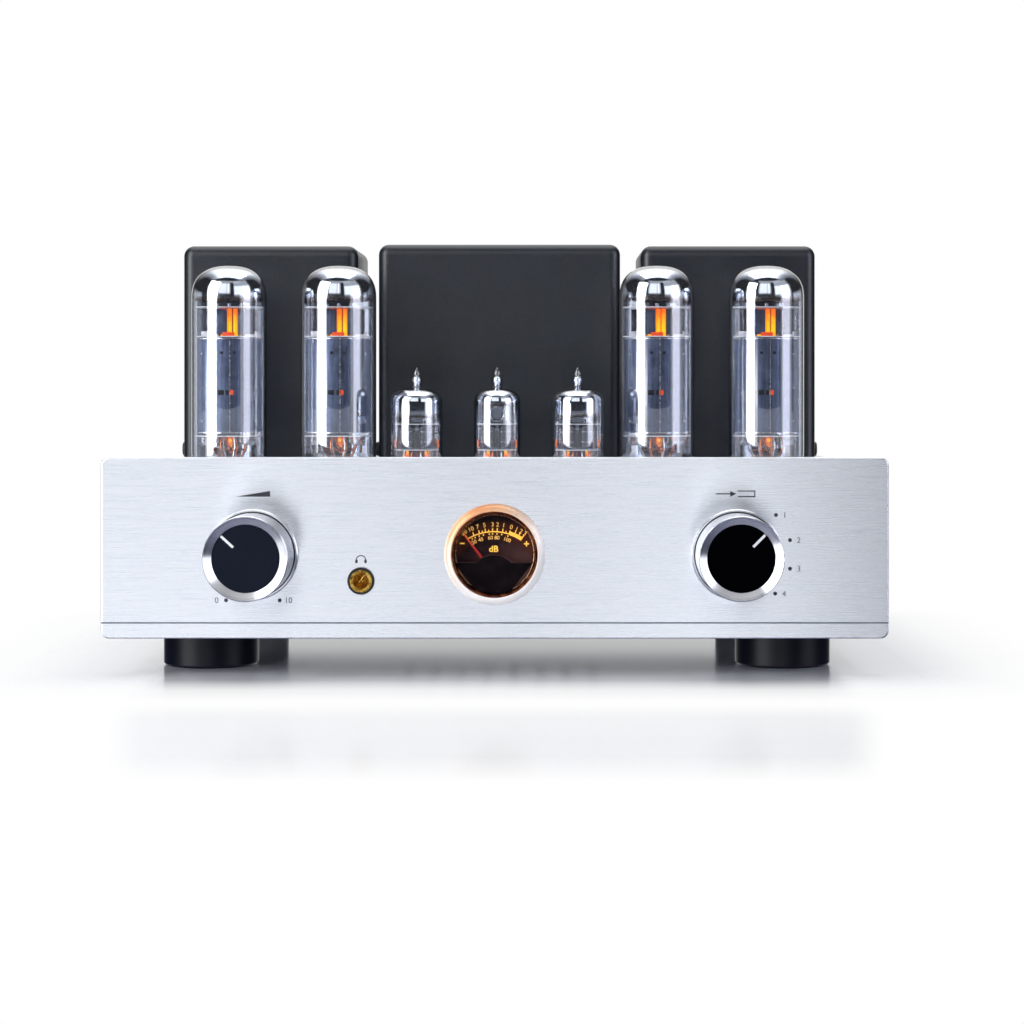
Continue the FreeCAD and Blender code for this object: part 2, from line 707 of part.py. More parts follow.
def control_body(x, body_d, body_l, lugs):
    """A panel control: threaded bushing, round body with the shaft's bearing, and solder lugs."""
    bushing = rod_y(x, POCKET_WEB, WALL_BACK, CONTROL_Z, BUSHING_D)
    body = rod_y(x, WALL_BACK, WALL_BACK + body_l, CONTROL_Z, body_d)
    bearing = rod_y(x, POCKET_WEB - 1, WALL_BACK + SHAFT_IN + LOOSE, CONTROL_Z, SHAFT_D + 2 * RUN)
    parts = []
    for i in range(lugs):
        lug_x = x + (i - (lugs - 1) / 2) * 2 * LUG_W
        low = CONTROL_Z - body_d / 2 - LUG_L
        y = WALL_BACK + body_l / 2
        parts.append(box(lug_x - LUG_W / 2, lug_x + LUG_W / 2, y, y + LUG_T, low, CONTROL_Z - body_d / 4))
    return body.fuse([bushing] + parts).cut(bearing)


def control_nuts():
    nuts = []
    for x in (-CONTROL_X, CONTROL_X):
        nut = hexagon(x, CONTROL_Z, FACE_T - NUT_T, FACE_T, NUT_ACROSS)
        nuts.append(nut.cut(rod_y(x, 0, FACE_T + 1, CONTROL_Z, BUSHING_D + 2 * RUN)))
    return nuts


# Level meter


def meter_bezel():
    glass_seat = GLASS_SINK + GLASS_T - BEZEL_PROUD
    corners = [(MOUTH_D / 2, -BEZEL_PROUD), (BEZEL_D / 2, -BEZEL_PROUD), (BEZEL_D / 2, 0), (SLEEVE_D / 2, 0),
               (SLEEVE_D / 2, DIAL_Y), (WINDOW_D / 2, DIAL_Y), (SEAT_D / 2, glass_seat), (MOUTH_D / 2, glass_seat)]
    bezel = turned(corners, vec(0, 0, CONTROL_Z), "y")
    rim = [e for e in bezel.Edges
           if e.Closed and e.BoundBox.YMax < 0.01 - BEZEL_PROUD and e.BoundBox.XMax > BEZEL_D / 2 - 0.01]
    wall = min((BEZEL_D - MOUTH_D) / 2, BEZEL_PROUD)
    return bezel.makeFillet(min(BEZEL_ROUND, 0.9 * wall), rim)


def meter_glass():
    y = GLASS_SINK - BEZEL_PROUD
    return rod_y(0.0, y, y + GLASS_T, CONTROL_Z, MOUTH_D - 2 * RUN)


def meter_dial():
    plate = rod_y(0.0, DIAL_Y, CAN_START, CONTROL_Z, SLEEVE_D)
    plate = plate.cut(rod_y(0.0, DIAL_Y - 1, CAN_START + 1, PIVOT_Z, HUB_D + 2 * LOOSE))
    # Mask over the lower half, with a low hump over the needle's pivot
    front = DIAL_Y - MASK_AHEAD
    r = WINDOW_D / 2
    edge = CONTROL_Z - MASK_EDGE_DOWN
    disc = rod_y(0.0, front, MASK_BACK, CONTROL_Z, 2 * r)
    above = box(-r - 1, r + 1, front - 1, MASK_BACK + 1, edge, CONTROL_Z + r + 1)
    hump_r = (MASK_BUMP_W ** 2 / 4 + MASK_BUMP_H ** 2) / (2 * MASK_BUMP_H)
    hump = rod_y(0.0, front - 1, MASK_BACK + 1, edge + MASK_BUMP_H - hump_r, 2 * hump_r)
    mask = disc.cut(above.cut(hump))
    posts = [rod_y(x, front, DIAL_Y, PIVOT_Z, MASK_POST_D) for x in (-MASK_POST_X, MASK_POST_X)]
    return [plate, mask.fuse(posts)]


def meter_needle():
    hub_front = MASK_BACK + LOOSE
    needle_y = DIAL_Y - NEEDLE_AHEAD
    coil_y = CAN_START + LOOSE
    hub = rod_y(0.0, hub_front, coil_y + COIL_L, PIVOT_Z, HUB_D)
    root = NEEDLE_ROOT_W / 2
    tip = NEEDLE_TIP_W / 2
    outline = [vec(-root, needle_y, PIVOT_Z - NEEDLE_TAIL), vec(root, needle_y, PIVOT_Z - NEEDLE_TAIL),
               vec(tip, needle_y, PIVOT_Z + NEEDLE_L), vec(-tip, needle_y, PIVOT_Z + NEEDLE_L)]
    pointer = extruded(outline, vec(0, NEEDLE_T, 0))
    coil = box(-COIL_W / 2, COIL_W / 2, coil_y, coil_y + COIL_L, PIVOT_Z - COIL_H / 2, PIVOT_Z + COIL_H / 2)
    bore = rod_y(0.0, hub_front - 1, coil_y + COIL_L + 1, PIVOT_Z, PIVOT_D + 2 * RUN)
    moving = hub.fuse([pointer, coil]).cut(bore)
    moving.rotate(vec(0, 0, PIVOT_Z), vec(0, 1, 0), NEEDLE_REST)
    return moving


def meter_housing():
    r = SLEEVE_D / 2
    inner = r - METER_CAN_T
    corners = [(inner, CAN_START), (r, CAN_START), (r, CAN_END), (0, CAN_END), (0, CAN_END - METER_CAN_T),
               (inner, CAN_END - METER_CAN_T)]
    can = turned(corners, vec(0, 0, CONTROL_Z), "y")
    studs = [rod_y(x, CAN_END, CAN_END + STUD_L, CONTROL_Z, M3) for x in (-POCKET_D / 2, POCKET_D / 2)]
    magnet_y = CAN_END - METER_CAN_T - MAGNET_L
    magnet = box(-MAGNET_W / 2, MAGNET_W / 2, magnet_y, CAN_END - METER_CAN_T,
                 PIVOT_Z - HUB_D, PIVOT_Z + MAGNET_W)
    pin = rod_y(0.0, MASK_BACK + LOOSE, magnet_y, PIVOT_Z, PIVOT_D)
    return [can.fuse(studs), magnet.fuse(pin)]


# Headphone jack


def headphone_jack():
    bushing = rod_y(JACK_X, -JACK_PROUD, WALL_BACK, JACK_Z, JACK_BUSHING_D)
    body = box(JACK_X - JACK_BODY_W / 2, JACK_X + JACK_BODY_W / 2, WALL_BACK, WALL_BACK + JACK_BODY_L,
               JACK_Z - JACK_BODY_H / 2, JACK_Z + JACK_BODY_H / 2)
    bore = rod_y(JACK_X, -JACK_PROUD - 1, WALL_BACK + JACK_BODY_L - SHEET, JACK_Z, JACK_BORE_D)
    return bushing.fuse(body).cut(bore)


def jack_washer():
    washer = rod_y(JACK_X, -JACK_WASHER_T, 0.0, JACK_Z, JACK_WASHER_D)
    return washer.cut(rod_y(JACK_X, -2, 1, JACK_Z, JACK_BUSHING_D + 2 * FIT))


# Tubes


def bulb(x, y, r, low, high, taper, taper_h, shoulder_h, crown_r, crown_h, neck_r, neck_top):
    """A glass envelope's outer or inner form: neck, wall, slight taper, round shoulder, low crown."""
    wall_top = high - taper_h
    shoulder_z = high - shoulder_h
    crown_z = high - crown_h
    top_r = r - taper
    axis_low = vec(0, 0, low)
    points = [axis_low, vec(neck_r, 0, low)]
    if neck_r < r:
        points += [vec(neck_r, 0, neck_top), vec(r, 0, neck_top + (r - neck_r))]
    points += [vec(r, 0, wall_top), vec(top_r, 0, shoulder_z)]
    edges = [Part.LineSegment(a, b).toShape() for a, b in zip(points, points[1:])]
    across = top_r - crown_r
    rise = crown_z - shoulder_z
    bend = vec(crown_r + across * math.sqrt(0.5), 0, shoulder_z + rise * math.sqrt(0.5))
    crown_edge = vec(crown_r, 0, crown_z)
    edges.append(Part.Arc(points[-1], bend, crown_edge).toShape())
    sphere_r = (crown_r ** 2 + crown_h ** 2) / (2 * crown_h)
    half_way = high - sphere_r + math.sqrt(sphere_r ** 2 - crown_r ** 2 / 4)
    peak = vec(0, 0, high)
    edges.append(Part.Arc(crown_edge, vec(crown_r / 2, 0, half_way), peak).toShape())
    edges.append(Part.LineSegment(peak, axis_low).toShape())
    solid = Part.Face(Part.Wire(edges)).revolve(vec(0, 0, 0), vec(0, 0, 1), 360)
    solid.translate(vec(x, y, 0))
    return solid


def power_tube_glass(x):
    low = OCTAL_SEAT + 2 * BASE_WALL
    high = OCTAL_SEAT + POWER_TUBE_H
    neck_r = BASE_D / 2 - BASE_WALL - FIT
    neck_top = OCTAL_SEAT + BASE_H + FIT
    r = BULB_D / 2
    crown_r = POWER_CROWN_D / 2
    wall = BULB_WALL
    outer = bulb(x, POWER_Y, r, low, high, POWER_TAPER, POWER_TAPER_H, POWER_SHOULDER_H,
                 crown_r, POWER_CROWN_H, neck_r, neck_top)
    floor = low + 2 * wall
    inner = bulb(x, POWER_Y, r - wall, floor, high - wall, POWER_TAPER, POWER_TAPER_H, POWER_SHOULDER_H,
                 crown_r, POWER_CROWN_H, neck_r - wall, neck_top + wall / 2)
    stem = Part.makeCone(STEM_D / 2, STEM_D / 3, STEM_H, vec(x, POWER_Y, floor), vec(0, 0, 1))
    return outer.cut(inner).fuse(stem)


def power_tube_base(x):
    r = BASE_D / 2
    inner = r - BASE_WALL
    floor = 2 * BASE_WALL
    corners = [(0, 0), (r - FOOT_CHAMFER, 0), (r, FOOT_CHAMFER), (r, BASE_H), (inner, BASE_H), (inner, floor),
               (0, floor)]
    cup = turned(corners, vec(x, POWER_Y, OCTAL_SEAT), "z")
    key = rod_z(x, POWER_Y, OCTAL_SEAT - KEY_L, OCTAL_SEAT, KEY_D)
    rib = box(x - RADIATOR_T, x + RADIATOR_T, POWER_Y, POWER_Y + KEY_D / 2 + RADIATOR_T,
              OCTAL_SEAT - KEY_L, OCTAL_SEAT)
    return cup.fuse([key, rib])


def power_tube_electrodes(x):
    """Anode, cathode, grid posts with their radiators, micas, getter ring and base pins."""
    y = POWER_Y
    seat = OCTAL_SEAT
    mica_d = BULB_D - 2 * BULB_WALL - 2 * LOOSE
    low = seat + LOWER_MICA_UP
    anode_top = low + ANODE_H
    top_mica = seat + TOP_MICA_UP
    stem_top = seat + 2 * BASE_WALL + 2 * BULB_WALL + STEM_H
    micas = [rod_z(x, y, z - MICA_T, z, mica_d) for z in (low, top_mica)]
    micas.append(rod_z(x, y, anode_top, anode_top + MICA_T, mica_d))
    panel = box(x - ANODE_PANEL_W / 2, x + ANODE_PANEL_W / 2, y - ANODE_DEPTH / 2, y + ANODE_DEPTH / 2,
                low, anode_top)
    upright = [e for e in panel.Edges if abs(e.tangentAt(e.FirstParameter).z) > 0.9]
    panel = panel.makeChamfer(ANODE_DEPTH / 5, upright)
    fins = box(x - ANODE_W / 2, x + ANODE_W / 2, y - FIN_T / 2, y + FIN_T / 2, low, anode_top)
    cathode = rod_z(x, y, stem_top, anode_top + RADIATOR_H, CATHODE_D)
    parts = [fins, cathode] + micas
    for side in (-1, 1):
        parts.append(rod_z(x + side * ANODE_W / 2.2, y, stem_top - STEM_H / 2, top_mica, POST_D))
        parts.append(rod_z(x + side * RADIATOR_W * 0.7, y, low - MICA_T, top_mica, POST_D))
        x0 = x + side * RADIATOR_W * 0.7 - RADIATOR_W / 2
        z0 = anode_top + MICA_T
        parts.append(box(x0, x0 + RADIATOR_W, y - RADIATOR_T / 2, y + RADIATOR_T / 2, z0, z0 + RADIATOR_H))
        wire_x = x + side * STEM_D / 6
        for wire_y in (y - STEM_D / 6, y + STEM_D / 6):
            parts.append(rod_z(wire_x, wire_y, stem_top, low, WIRE_D))
    parts.append(rod_z(x, y, top_mica - MICA_T, top_mica + GETTER_UP, POST_D))
    ring = Part.makeTorus(GETTER_D / 2, POST_D / 2, vec(x, y, top_mica + GETTER_UP))
    bar = rod_x(x - GETTER_D / 2, x + GETTER_D / 2, y, top_mica + GETTER_UP, POST_D)
    # Short struts carry the side posts from the stem
    strut = rod_x(x - ANODE_W / 2.2, x + ANODE_W / 2.2, y, stem_top - STEM_H / 2, POST_D)
    cage = panel.fuse(parts + [ring, bar, strut])
    stem = Part.makeCone(STEM_D / 2 + RUN, STEM_D / 3 + RUN, STEM_H, vec(x, y, stem_top - STEM_H), vec(0, 0, 1))
    cage = cage.cut(stem)
    places = ring_points(OCTAL_PINS, OCTAL_CIRCLE_D, x, y)
    pins = [rod_z(px, py, seat - OCTAL_PIN_L, seat, OCTAL_PIN_D) for px, py in places]
    return cage.Solids + pins


def small_tube_glass(x, d):
    low = NOVAL_SEAT
    high = NOVAL_SEAT + SMALL_TUBE_H
    wall = SMALL_WALL
    crown_r = SMALL_CROWN_D / 2
    outer = bulb(x, SMALL_Y, d / 2, low, high, SMALL_TAPER, SMALL_TAPER_H, SMALL_SHOULDER_H,
                 crown_r, SMALL_CROWN_H, d / 2, low)
    inner = bulb(x, SMALL_Y, d / 2 - wall, low + SMALL_FLOOR_T, high - wall, SMALL_TAPER, SMALL_TAPER_H,
                 SMALL_SHOULDER_H, crown_r, SMALL_CROWN_H, d / 2 - wall, low)
    r = TIP_D / 2
    corners = [(0, -SMALL_CROWN_H), (r, -SMALL_CROWN_H), (r * 0.8, 1), (r, TIP_BARREL_H / 2), (r, TIP_BARREL_H),
               (r / 3, TIP_H - r / 5), (0, TIP_H)]
    tip = turned(corners, vec(x, SMALL_Y, high), "z")
    return outer.fuse(tip).cut(inner)


def small_tube_electrodes(x, d):
    """Twin anodes between two micas, posts, getter ring and base pins."""
    y = SMALL_Y
    seat = NOVAL_SEAT
    mica_d = d - 2 * SMALL_WALL - 2 * LOOSE
    low = seat + SMALL_LOWER_MICA_UP
    top = seat + SMALL_TOP_MICA_UP
    floor = seat + SMALL_FLOOR_T
    parts = [rod_z(x, y, low - MICA_T, low, mica_d)]
    for side in (-1, 1):
        centre = x + side * (SMALL_ANODE_W + SMALL_ANODE_GAP) / 2
        half = SMALL_ANODE_W / 2
        anode = box(centre - half, centre + half, y - half, y + half, low, low + SMALL_ANODE_H)
        upright = [e for e in anode.Edges if abs(e.tangentAt(e.FirstParameter).z) > 0.9]
        parts.append(anode.makeChamfer(half / 3, upright))
        parts.append(rod_z(centre, y, floor, top, POST_D))
        parts.append(rod_z(centre, y - half / 2, floor, low, WIRE_D))
        parts.append(rod_z(centre, y + half / 2, floor, low, WIRE_D))
    parts.append(rod_z(x, y, floor, top + SMALL_GETTER_UP, POST_D))
    ring = Part.makeTorus(SMALL_GETTER_D / 2, WIRE_D / 2, vec(x, y, top + SMALL_GETTER_UP))
    bar = rod_x(x - SMALL_GETTER_D / 2, x + SMALL_GETTER_D / 2, y, top + SMALL_GETTER_UP, WIRE_D)
    top_mica = rod_z(x, y, top - MICA_T, top, mica_d)
    cage = top_mica.fuse(parts + [ring, bar])
    places = ring_points(NOVAL_PINS + 1, NOVAL_CIRCLE_D, x, y)[1:]
    pins = [rod_z(px, py, seat - NOVAL_PIN_L, seat, NOVAL_PIN_D) for px, py in places]
    return cage.Solids + pins


def core_d(circle_d, pin_d):
    """A socket's core reaches a little beyond the holes for the pins."""
    return circle_d + pin_d + 2 * (FIT + SOCKET_LAND)


def socket_rings():
    """The ceramic rings of all the sockets. They stand on the tube board."""
    inner = core_d(OCTAL_CIRCLE_D, OCTAL_PIN_D) / 2 + RUN
    r = OCTAL_SOCKET_D / 2
    corners = [(inner, 0), (r, 0), (r, OCTAL_SOCKET_H), (inner, OCTAL_SOCKET_H)]
    rings = [turned(corners, vec(x, POWER_Y, BOARD_TOP), "z") for x in POWER_X]
    inner = core_d(NOVAL_CIRCLE_D, NOVAL_PIN_D) / 2 + RUN
    r = NOVAL_SOCKET_D / 2
    step = NOVAL_STEP_D / 2
    top = NOVAL_SEAT - BOARD_TOP
    corners = [(inner, 0), (step, 0), (step, NOVAL_STEP_H), (r, NOVAL_STEP_H), (r, top), (inner, top)]
    return rings + [turned(corners, vec(x, SMALL_Y, BOARD_TOP), "z") for x in SMALL_X]


def socket_cores():
    """The ceramic cores inside the rings, with the holes for the tubes' pins and keys."""
    low = BOARD_TOP - 1
    cores = []
    for x in POWER_X:
        body = rod_z(x, POWER_Y, BOARD_TOP, OCTAL_SEAT, core_d(OCTAL_CIRCLE_D, OCTAL_PIN_D))
        bores = [rod_z(px, py, low, OCTAL_SEAT + 1, OCTAL_PIN_D + 2 * FIT)
                 for px, py in ring_points(OCTAL_PINS, OCTAL_CIRCLE_D, x, POWER_Y)]
        bores.append(rod_z(x, POWER_Y, low, OCTAL_SEAT + 1, KEY_D + 2 * FIT))
        rib = RADIATOR_T + FIT
        bores.append(box(x - rib, x + rib, POWER_Y, POWER_Y + KEY_D / 2 + rib, low, OCTAL_SEAT + 1))
        cores.append(cut_all(body, bores))
    for x in SMALL_X:
        body = rod_z(x, SMALL_Y, BOARD_TOP, NOVAL_SEAT, core_d(NOVAL_CIRCLE_D, NOVAL_PIN_D))
        bores = [rod_z(px, py, NOVAL_SEAT - NOVAL_PIN_L - 1, NOVAL_SEAT + 1, NOVAL_PIN_D + 2 * FIT)
                 for px, py in ring_points(NOVAL_PINS + 1, NOVAL_CIRCLE_D, x, SMALL_Y)[1:]]
        cores.append(cut_all(body, bores))
    return cores


def tube_board():
    low = BOARD_TOP - BOARD_T
    board = box(-BOARD_HALF_W, BOARD_HALF_W, BOARD_FRONT, BOARD_BACK, low, BOARD_TOP)
    holes = [rod_z(x, y, low - 1, BOARD_TOP + 1, M3 + 2 * FIT) for x, y in spacer_places()]
    return cut_all(board, holes)


def board_capacitors():
    low = SHELL_BOTTOM + CAPACITOR_AIR
    high = BOARD_TOP - BOARD_T
    outer = INNER_TUBE_X + TUBE_PITCH / 2
    cans = []
    for x in mirrored((outer, SMALL_TUBE_PITCH)):
        can = rod_z(x, POWER_Y, low, high, CAPACITOR_D)
        cans.append(can.makeFillet(SHEET, [e for e in can.Edges if e.BoundBox.ZMax < low + 0.01]))
    return cans


# Transformers and their covers


def cover(x, width, height):
    half = width / 2
    top = DECK_TOP + height
    outer = box(x - half, x + half, COVER_FRONT, COVER_BACK, DECK_TOP, top)
    outer = outer.makeFillet(COVER_R, [e for e in outer.Edges if e.BoundBox.ZMax > DECK_TOP + 0.01])
    t = COVER_T
    inner = box(x - half + t, x + half - t, COVER_FRONT + t, COVER_BACK - t, DECK_TOP, top - t)
    inner = inner.makeFillet(COVER_R - t, [e for e in inner.Edges if e.BoundBox.ZMax > DECK_TOP + 0.01])
    holes = []
    for y in bracket_y():
        for side in (-1, 1):
            x0, x1 = sorted((x + side * (half + 1), x + side * (half - t - 1)))
            holes.append(rod_x(x0, x1, y, DECK_TOP + COVER_SCREW_UP, M3 + 2 * FIT))
    return cut_all(outer.cut(inner), holes)


def cover_brackets():
    """Angles welded to the deck inside the covers. They take the cover screws."""
    brackets = []
    for x, side in bracket_places():
        wall = sorted((x, x - side * SHEET))
        foot = sorted((x, x - side * (SHEET + BRACKET_FOOT)))
        hole = sorted((x + side, x - side * (SHEET + 1)))
        for y in bracket_y():
            y0 = y - BRACKET_W / 2
            y1 = y + BRACKET_W / 2
            upright = box(wall[0], wall[1], y0, y1, DECK_TOP, DECK_TOP + BRACKET_H)
            flat = box(foot[0], foot[1], y0, y1, DECK_TOP, DECK_TOP + SHEET)
            bore = rod_x(hole[0], hole[1], y, DECK_TOP + COVER_SCREW_UP, M3 + 2 * RUN)
            brackets.append(upright.fuse(flat).cut(bore))
    return brackets


def cover_screws():
    solids = []
    for x, side in bracket_places():
        outside = x + side * (COVER_T + FIT)
        length = COVER_T + FIT + SHEET + 1
        for y in bracket_y():
            tip = vec(outside - side * length, y, DECK_TOP + COVER_SCREW_UP)
            solids.append(screw(tip, vec(side, 0, 0), M3, length, COVER_HEAD_D, COVER_HEAD_H))
    return solids


def transformer_core(x, unit, stack):
    """A stack of E and I laminations on a clamp plate, its windows open to the front and rear."""
    low = DECK_TOP + CLAMP_T
    y0 = COVER_MID_Y - stack / 2
    y1 = COVER_MID_Y + stack / 2
    core = box(x - 3 * unit, x + 3 * unit, y0, y1, low, low + 5 * unit)
    for side in (-1, 1):
        centre = x + side * 1.5 * unit
        core = core.cut(box(centre - unit / 2, centre + unit / 2, y0 - 1, y1 + 1, low + unit, low + 4 * unit))
    clamp = box(x - 2.8 * unit, x + 2.8 * unit, y0 - CLAMP_REACH, y1 + CLAMP_REACH, DECK_TOP, low)
    holes = [rod_z(px, py, DECK_TOP - 1, low + 1, M4 + 2 * FIT) for px, py in transformer_screws()]
    return core.fuse(clamp).cut(Part.makeCompound(holes))


def transformer_coil(x, unit, stack):
    build = unit * COIL_BUILD
    air = COIL_AIR
    low = DECK_TOP + CLAMP_T + unit + air
    high = DECK_TOP + CLAMP_T + 4 * unit - air
    half_x = unit + build
    half_y = stack / 2 + build
    coil = box(x - half_x, x + half_x, COVER_MID_Y - half_y, COVER_MID_Y + half_y, low, high)
    upright = [e for e in coil.Edges if abs(e.tangentAt(e.FirstParameter).z) > 0.9]
    coil = coil.makeFillet(build * 0.6, upright)
    core_x = unit + FIT
    core_y = stack / 2 + FIT
    return coil.cut(box(x - core_x, x + core_x, COVER_MID_Y - core_y, COVER_MID_Y + core_y, low - 1, high + 1))


def transformers(make):
    power = make(0.0, POWER_UNIT, POWER_STACK)
    outputs = [make(side * SIDE_COVER_X, OUTPUT_UNIT, OUTPUT_STACK) for side in (-1, 1)]
    return [power] + outputs


# Rear panel sockets


def post_places():
    """X of the loudspeaker posts: right channel minus and plus, then left channel minus and plus."""
    return [POST_X + channel * POST_PAIR_PITCH / 2 + pole * POST_PITCH / 2
            for channel in (-1, 1) for pole in (-1, 1)]


def line_places():
    return [(LINE_X + i * LINE_PITCH_X, LINE_Z + j * LINE_PITCH_Z)
            for i in range(LINE_COLUMNS) for j in range(LINE_ROWS)]


def terminal_posts():
    posts = []
    r = POST_THREAD_D / 2
    end = POST_FLANGE_T + POST_L
    bore = POST_BORE_D / 2
    corners = [(0, -SHEET - POST_TAIL_L), (POST_TAIL_D / 2, -SHEET - POST_TAIL_L), (POST_TAIL_D / 2, 0),
               (POST_FLANGE_D / 2, 0), (POST_FLANGE_D / 2, POST_FLANGE_T), (r, POST_FLANGE_T), (r, end),
               (bore, end), (bore, end - POST_BORE_L), (0, end - POST_BORE_L)]
    for x in post_places():
        posts.append(turned(corners, vec(x, BODY_DEPTH, POST_Z), "y"))
    return posts


def rear_nuts():
    """The nuts that hold the posts and the line sockets, inside the rear panel."""
    places = [(x, POST_Z, POST_TAIL_D, M4) for x in post_places()]
    places += [(x, z, LINE_TAIL_D, NUT_T) for x, z in line_places()]
    nuts = []
    for x, z, tail_d, thick in places:
        nut = hexagon(x, z, PANEL_FRONT - thick, PANEL_FRONT, NUT_TO_TAIL * tail_d)
        nuts.append(nut.cut(rod_y(x, PANEL_FRONT - POST_TAIL_L, BODY_DEPTH, z, tail_d + 2 * RUN)))
    return nuts


def terminal_cap(x):
    """A fluted cap that turns on the post's thread. A plug passes through its open end."""
    start = BODY_DEPTH + POST_FLANGE_T + CAP_GAP
    r = CAP_D / 2
    bore = POST_THREAD_D / 2 + RUN
    corners = [(bore, 0), (r - CAP_LIP, 0), (r, CAP_LIP), (r, CAP_L - CAP_LIP), (r - CAP_LIP, CAP_L), (bore, CAP_L)]
    cap = turned(corners, vec(x, start, POST_Z), "y")
    flutes = []
    for px, pz in ring_points(CAP_FLUTES, CAP_D + CAP_FLUTE_D / 3, x, POST_Z):
        flutes.append(rod_y(px, start + 2 * CAP_LIP, start + CAP_L + 1, pz, CAP_FLUTE_D))
    return cut_all(cap, flutes)


def input_sockets():
    r = LINE_D / 2
    inner = r - LINE_WALL
    core = LINE_CORE_D / 2
    bore = LINE_BORE_D / 2
    back = -SHEET - LINE_TAIL_L
    corners = [(0, back), (LINE_TAIL_D / 2, back), (LINE_TAIL_D / 2, 0), (LINE_FLANGE_D / 2, 0),
               (LINE_FLANGE_D / 2, LINE_FLANGE_T), (r, LINE_FLANGE_T), (r, LINE_FLANGE_T + LINE_L),
               (inner, LINE_FLANGE_T + LINE_L), (inner, LINE_FLANGE_T), (core, LINE_FLANGE_T),
               (core, LINE_L), (bore, LINE_L), (bore, LINE_FLANGE_T - LINE_TAIL_L), (0, LINE_FLANGE_T - LINE_TAIL_L)]
    return [turned(corners, vec(x, BODY_DEPTH, z), "y") for x, z in line_places()]


def mains_inlet():
    lip = INLET_LIP
    half_w = INLET_W / 2
    half_h = INLET_H / 2
    y1 = BODY_DEPTH + INLET_FLANGE_T
    body = box(INLET_X - half_w, INLET_X + half_w, BODY_DEPTH - INLET_L, BODY_DEPTH, INLET_Z - half_h, INLET_Z + half_h)
    flange = rounded_plate(INLET_X, INLET_Z, INLET_W + 2 * lip, INLET_H + 2 * lip, BODY_DEPTH, y1, lip)
    z = INLET_Z - RECESS_DOWN
    left = INLET_X - RECESS_W / 2
    right = INLET_X + RECESS_W / 2
    low = z - RECESS_H / 2
    high = z + RECESS_H / 2
    floor = y1 - RECESS_DEEP
    outline = [vec(left, floor, low), vec(right, floor, low), vec(right, floor, high - RECESS_CUT),
               vec(right - RECESS_CUT, floor, high), vec(left + RECESS_CUT, floor, high),
               vec(left, floor, high - RECESS_CUT)]
    recess = extruded(outline, vec(0, RECESS_DEEP + 1, 0))
    slot_z = INLET_Z + DRAWER_UP
    slot_w = DRAWER_W / 2 + LOOSE
    slot_h = DRAWER_H / 2 + LOOSE
    slot = box(INLET_X - slot_w, INLET_X + slot_w, y1 - DRAWER_L - LOOSE, y1 + 1, slot_z - slot_h, slot_z + slot_h)
    solid = body.fuse(flange).cut(recess).cut(slot)
    blades = []
    for i in (-1, 0, 1):
        x = INLET_X + i * BLADE_PITCH / 2
        blade_z = z + (BLADE_STAGGER if i == 0 else 0) - BLADE_STAGGER / 2
        blades.append(box(x - BLADE_W / 2, x + BLADE_W / 2, floor, y1 - BLADE_SINK,
                          blade_z - BLADE_H / 2, blade_z + BLADE_H / 2))
    return [solid] + blades


def fuse_drawer():
    z = INLET_Z + DRAWER_UP
    y1 = BODY_DEPTH + INLET_FLANGE_T
    half_w = DRAWER_W / 2
    half_h = DRAWER_H / 2
    lip = DRAWER_FACE_LIP
    tray = box(INLET_X - half_w, INLET_X + half_w, y1 - DRAWER_L, y1, z - half_h, z + half_h)
    wall = DRAWER_WALL
    tray = tray.cut(box(INLET_X - half_w + wall, INLET_X + half_w - wall, y1 - DRAWER_L + wall, y1 - wall,
                        z - half_h + wall, z + half_h + 1))
    face = rounded_plate(INLET_X, z, DRAWER_W + 2 * lip, DRAWER_H + 2 * lip, y1, y1 + DRAWER_FACE_T, lip)
    middle = y1 - DRAWER_L / 2
    fuse = rod_y(INLET_X, middle - FUSE_L / 2, middle + FUSE_L / 2, z - half_h + wall + FUSE_D / 2, FUSE_D)
    return [tray.fuse(face), fuse]


# Mains switch


def power_switch():
    x0 = -HALF_W - SWITCH_FLANGE_T
    y = ROCKER_BACK
    flange = box(x0, -HALF_W, y - SWITCH_FLANGE_W / 2, y + SWITCH_FLANGE_W / 2,
                 ROCKER_Z - SWITCH_FLANGE_H / 2, ROCKER_Z + SWITCH_FLANGE_H / 2)
    flange = flange.makeFillet(SWITCH_FLANGE_T / 3, [e for e in flange.Edges if e.BoundBox.XMax < x0 + 0.01])
    body = box(-HALF_W, -HALF_W + SWITCH_BODY_L, y - SWITCH_BODY_W / 2, y + SWITCH_BODY_W / 2,
               ROCKER_Z - SWITCH_BODY_H / 2, ROCKER_Z + SWITCH_BODY_H / 2)
    well = box(x0 - 1, x0 + SWITCH_WELL_DEEP, y - SWITCH_WELL_W / 2, y + SWITCH_WELL_W / 2,
               ROCKER_Z - SWITCH_WELL_H / 2, ROCKER_Z + SWITCH_WELL_H / 2)
    reach = SWITCH_WELL_W / 2 + ROCKER_PIN_L
    pin = rod_y(x0 + ROCKER_PIVOT_IN, y - reach, y + reach, ROCKER_Z, ROCKER_PIN_D + 2 * RUN)
    lugs = []
    for i in (-1, 1):
        z = ROCKER_Z + i * SWITCH_BODY_H / 4
        end = -HALF_W + SWITCH_BODY_L
        lugs.append(box(end, end + LUG_L, y - LUG_W, y + LUG_W, z, z + LUG_T))
    return flange.fuse([body] + lugs).cut(well).cut(pin)


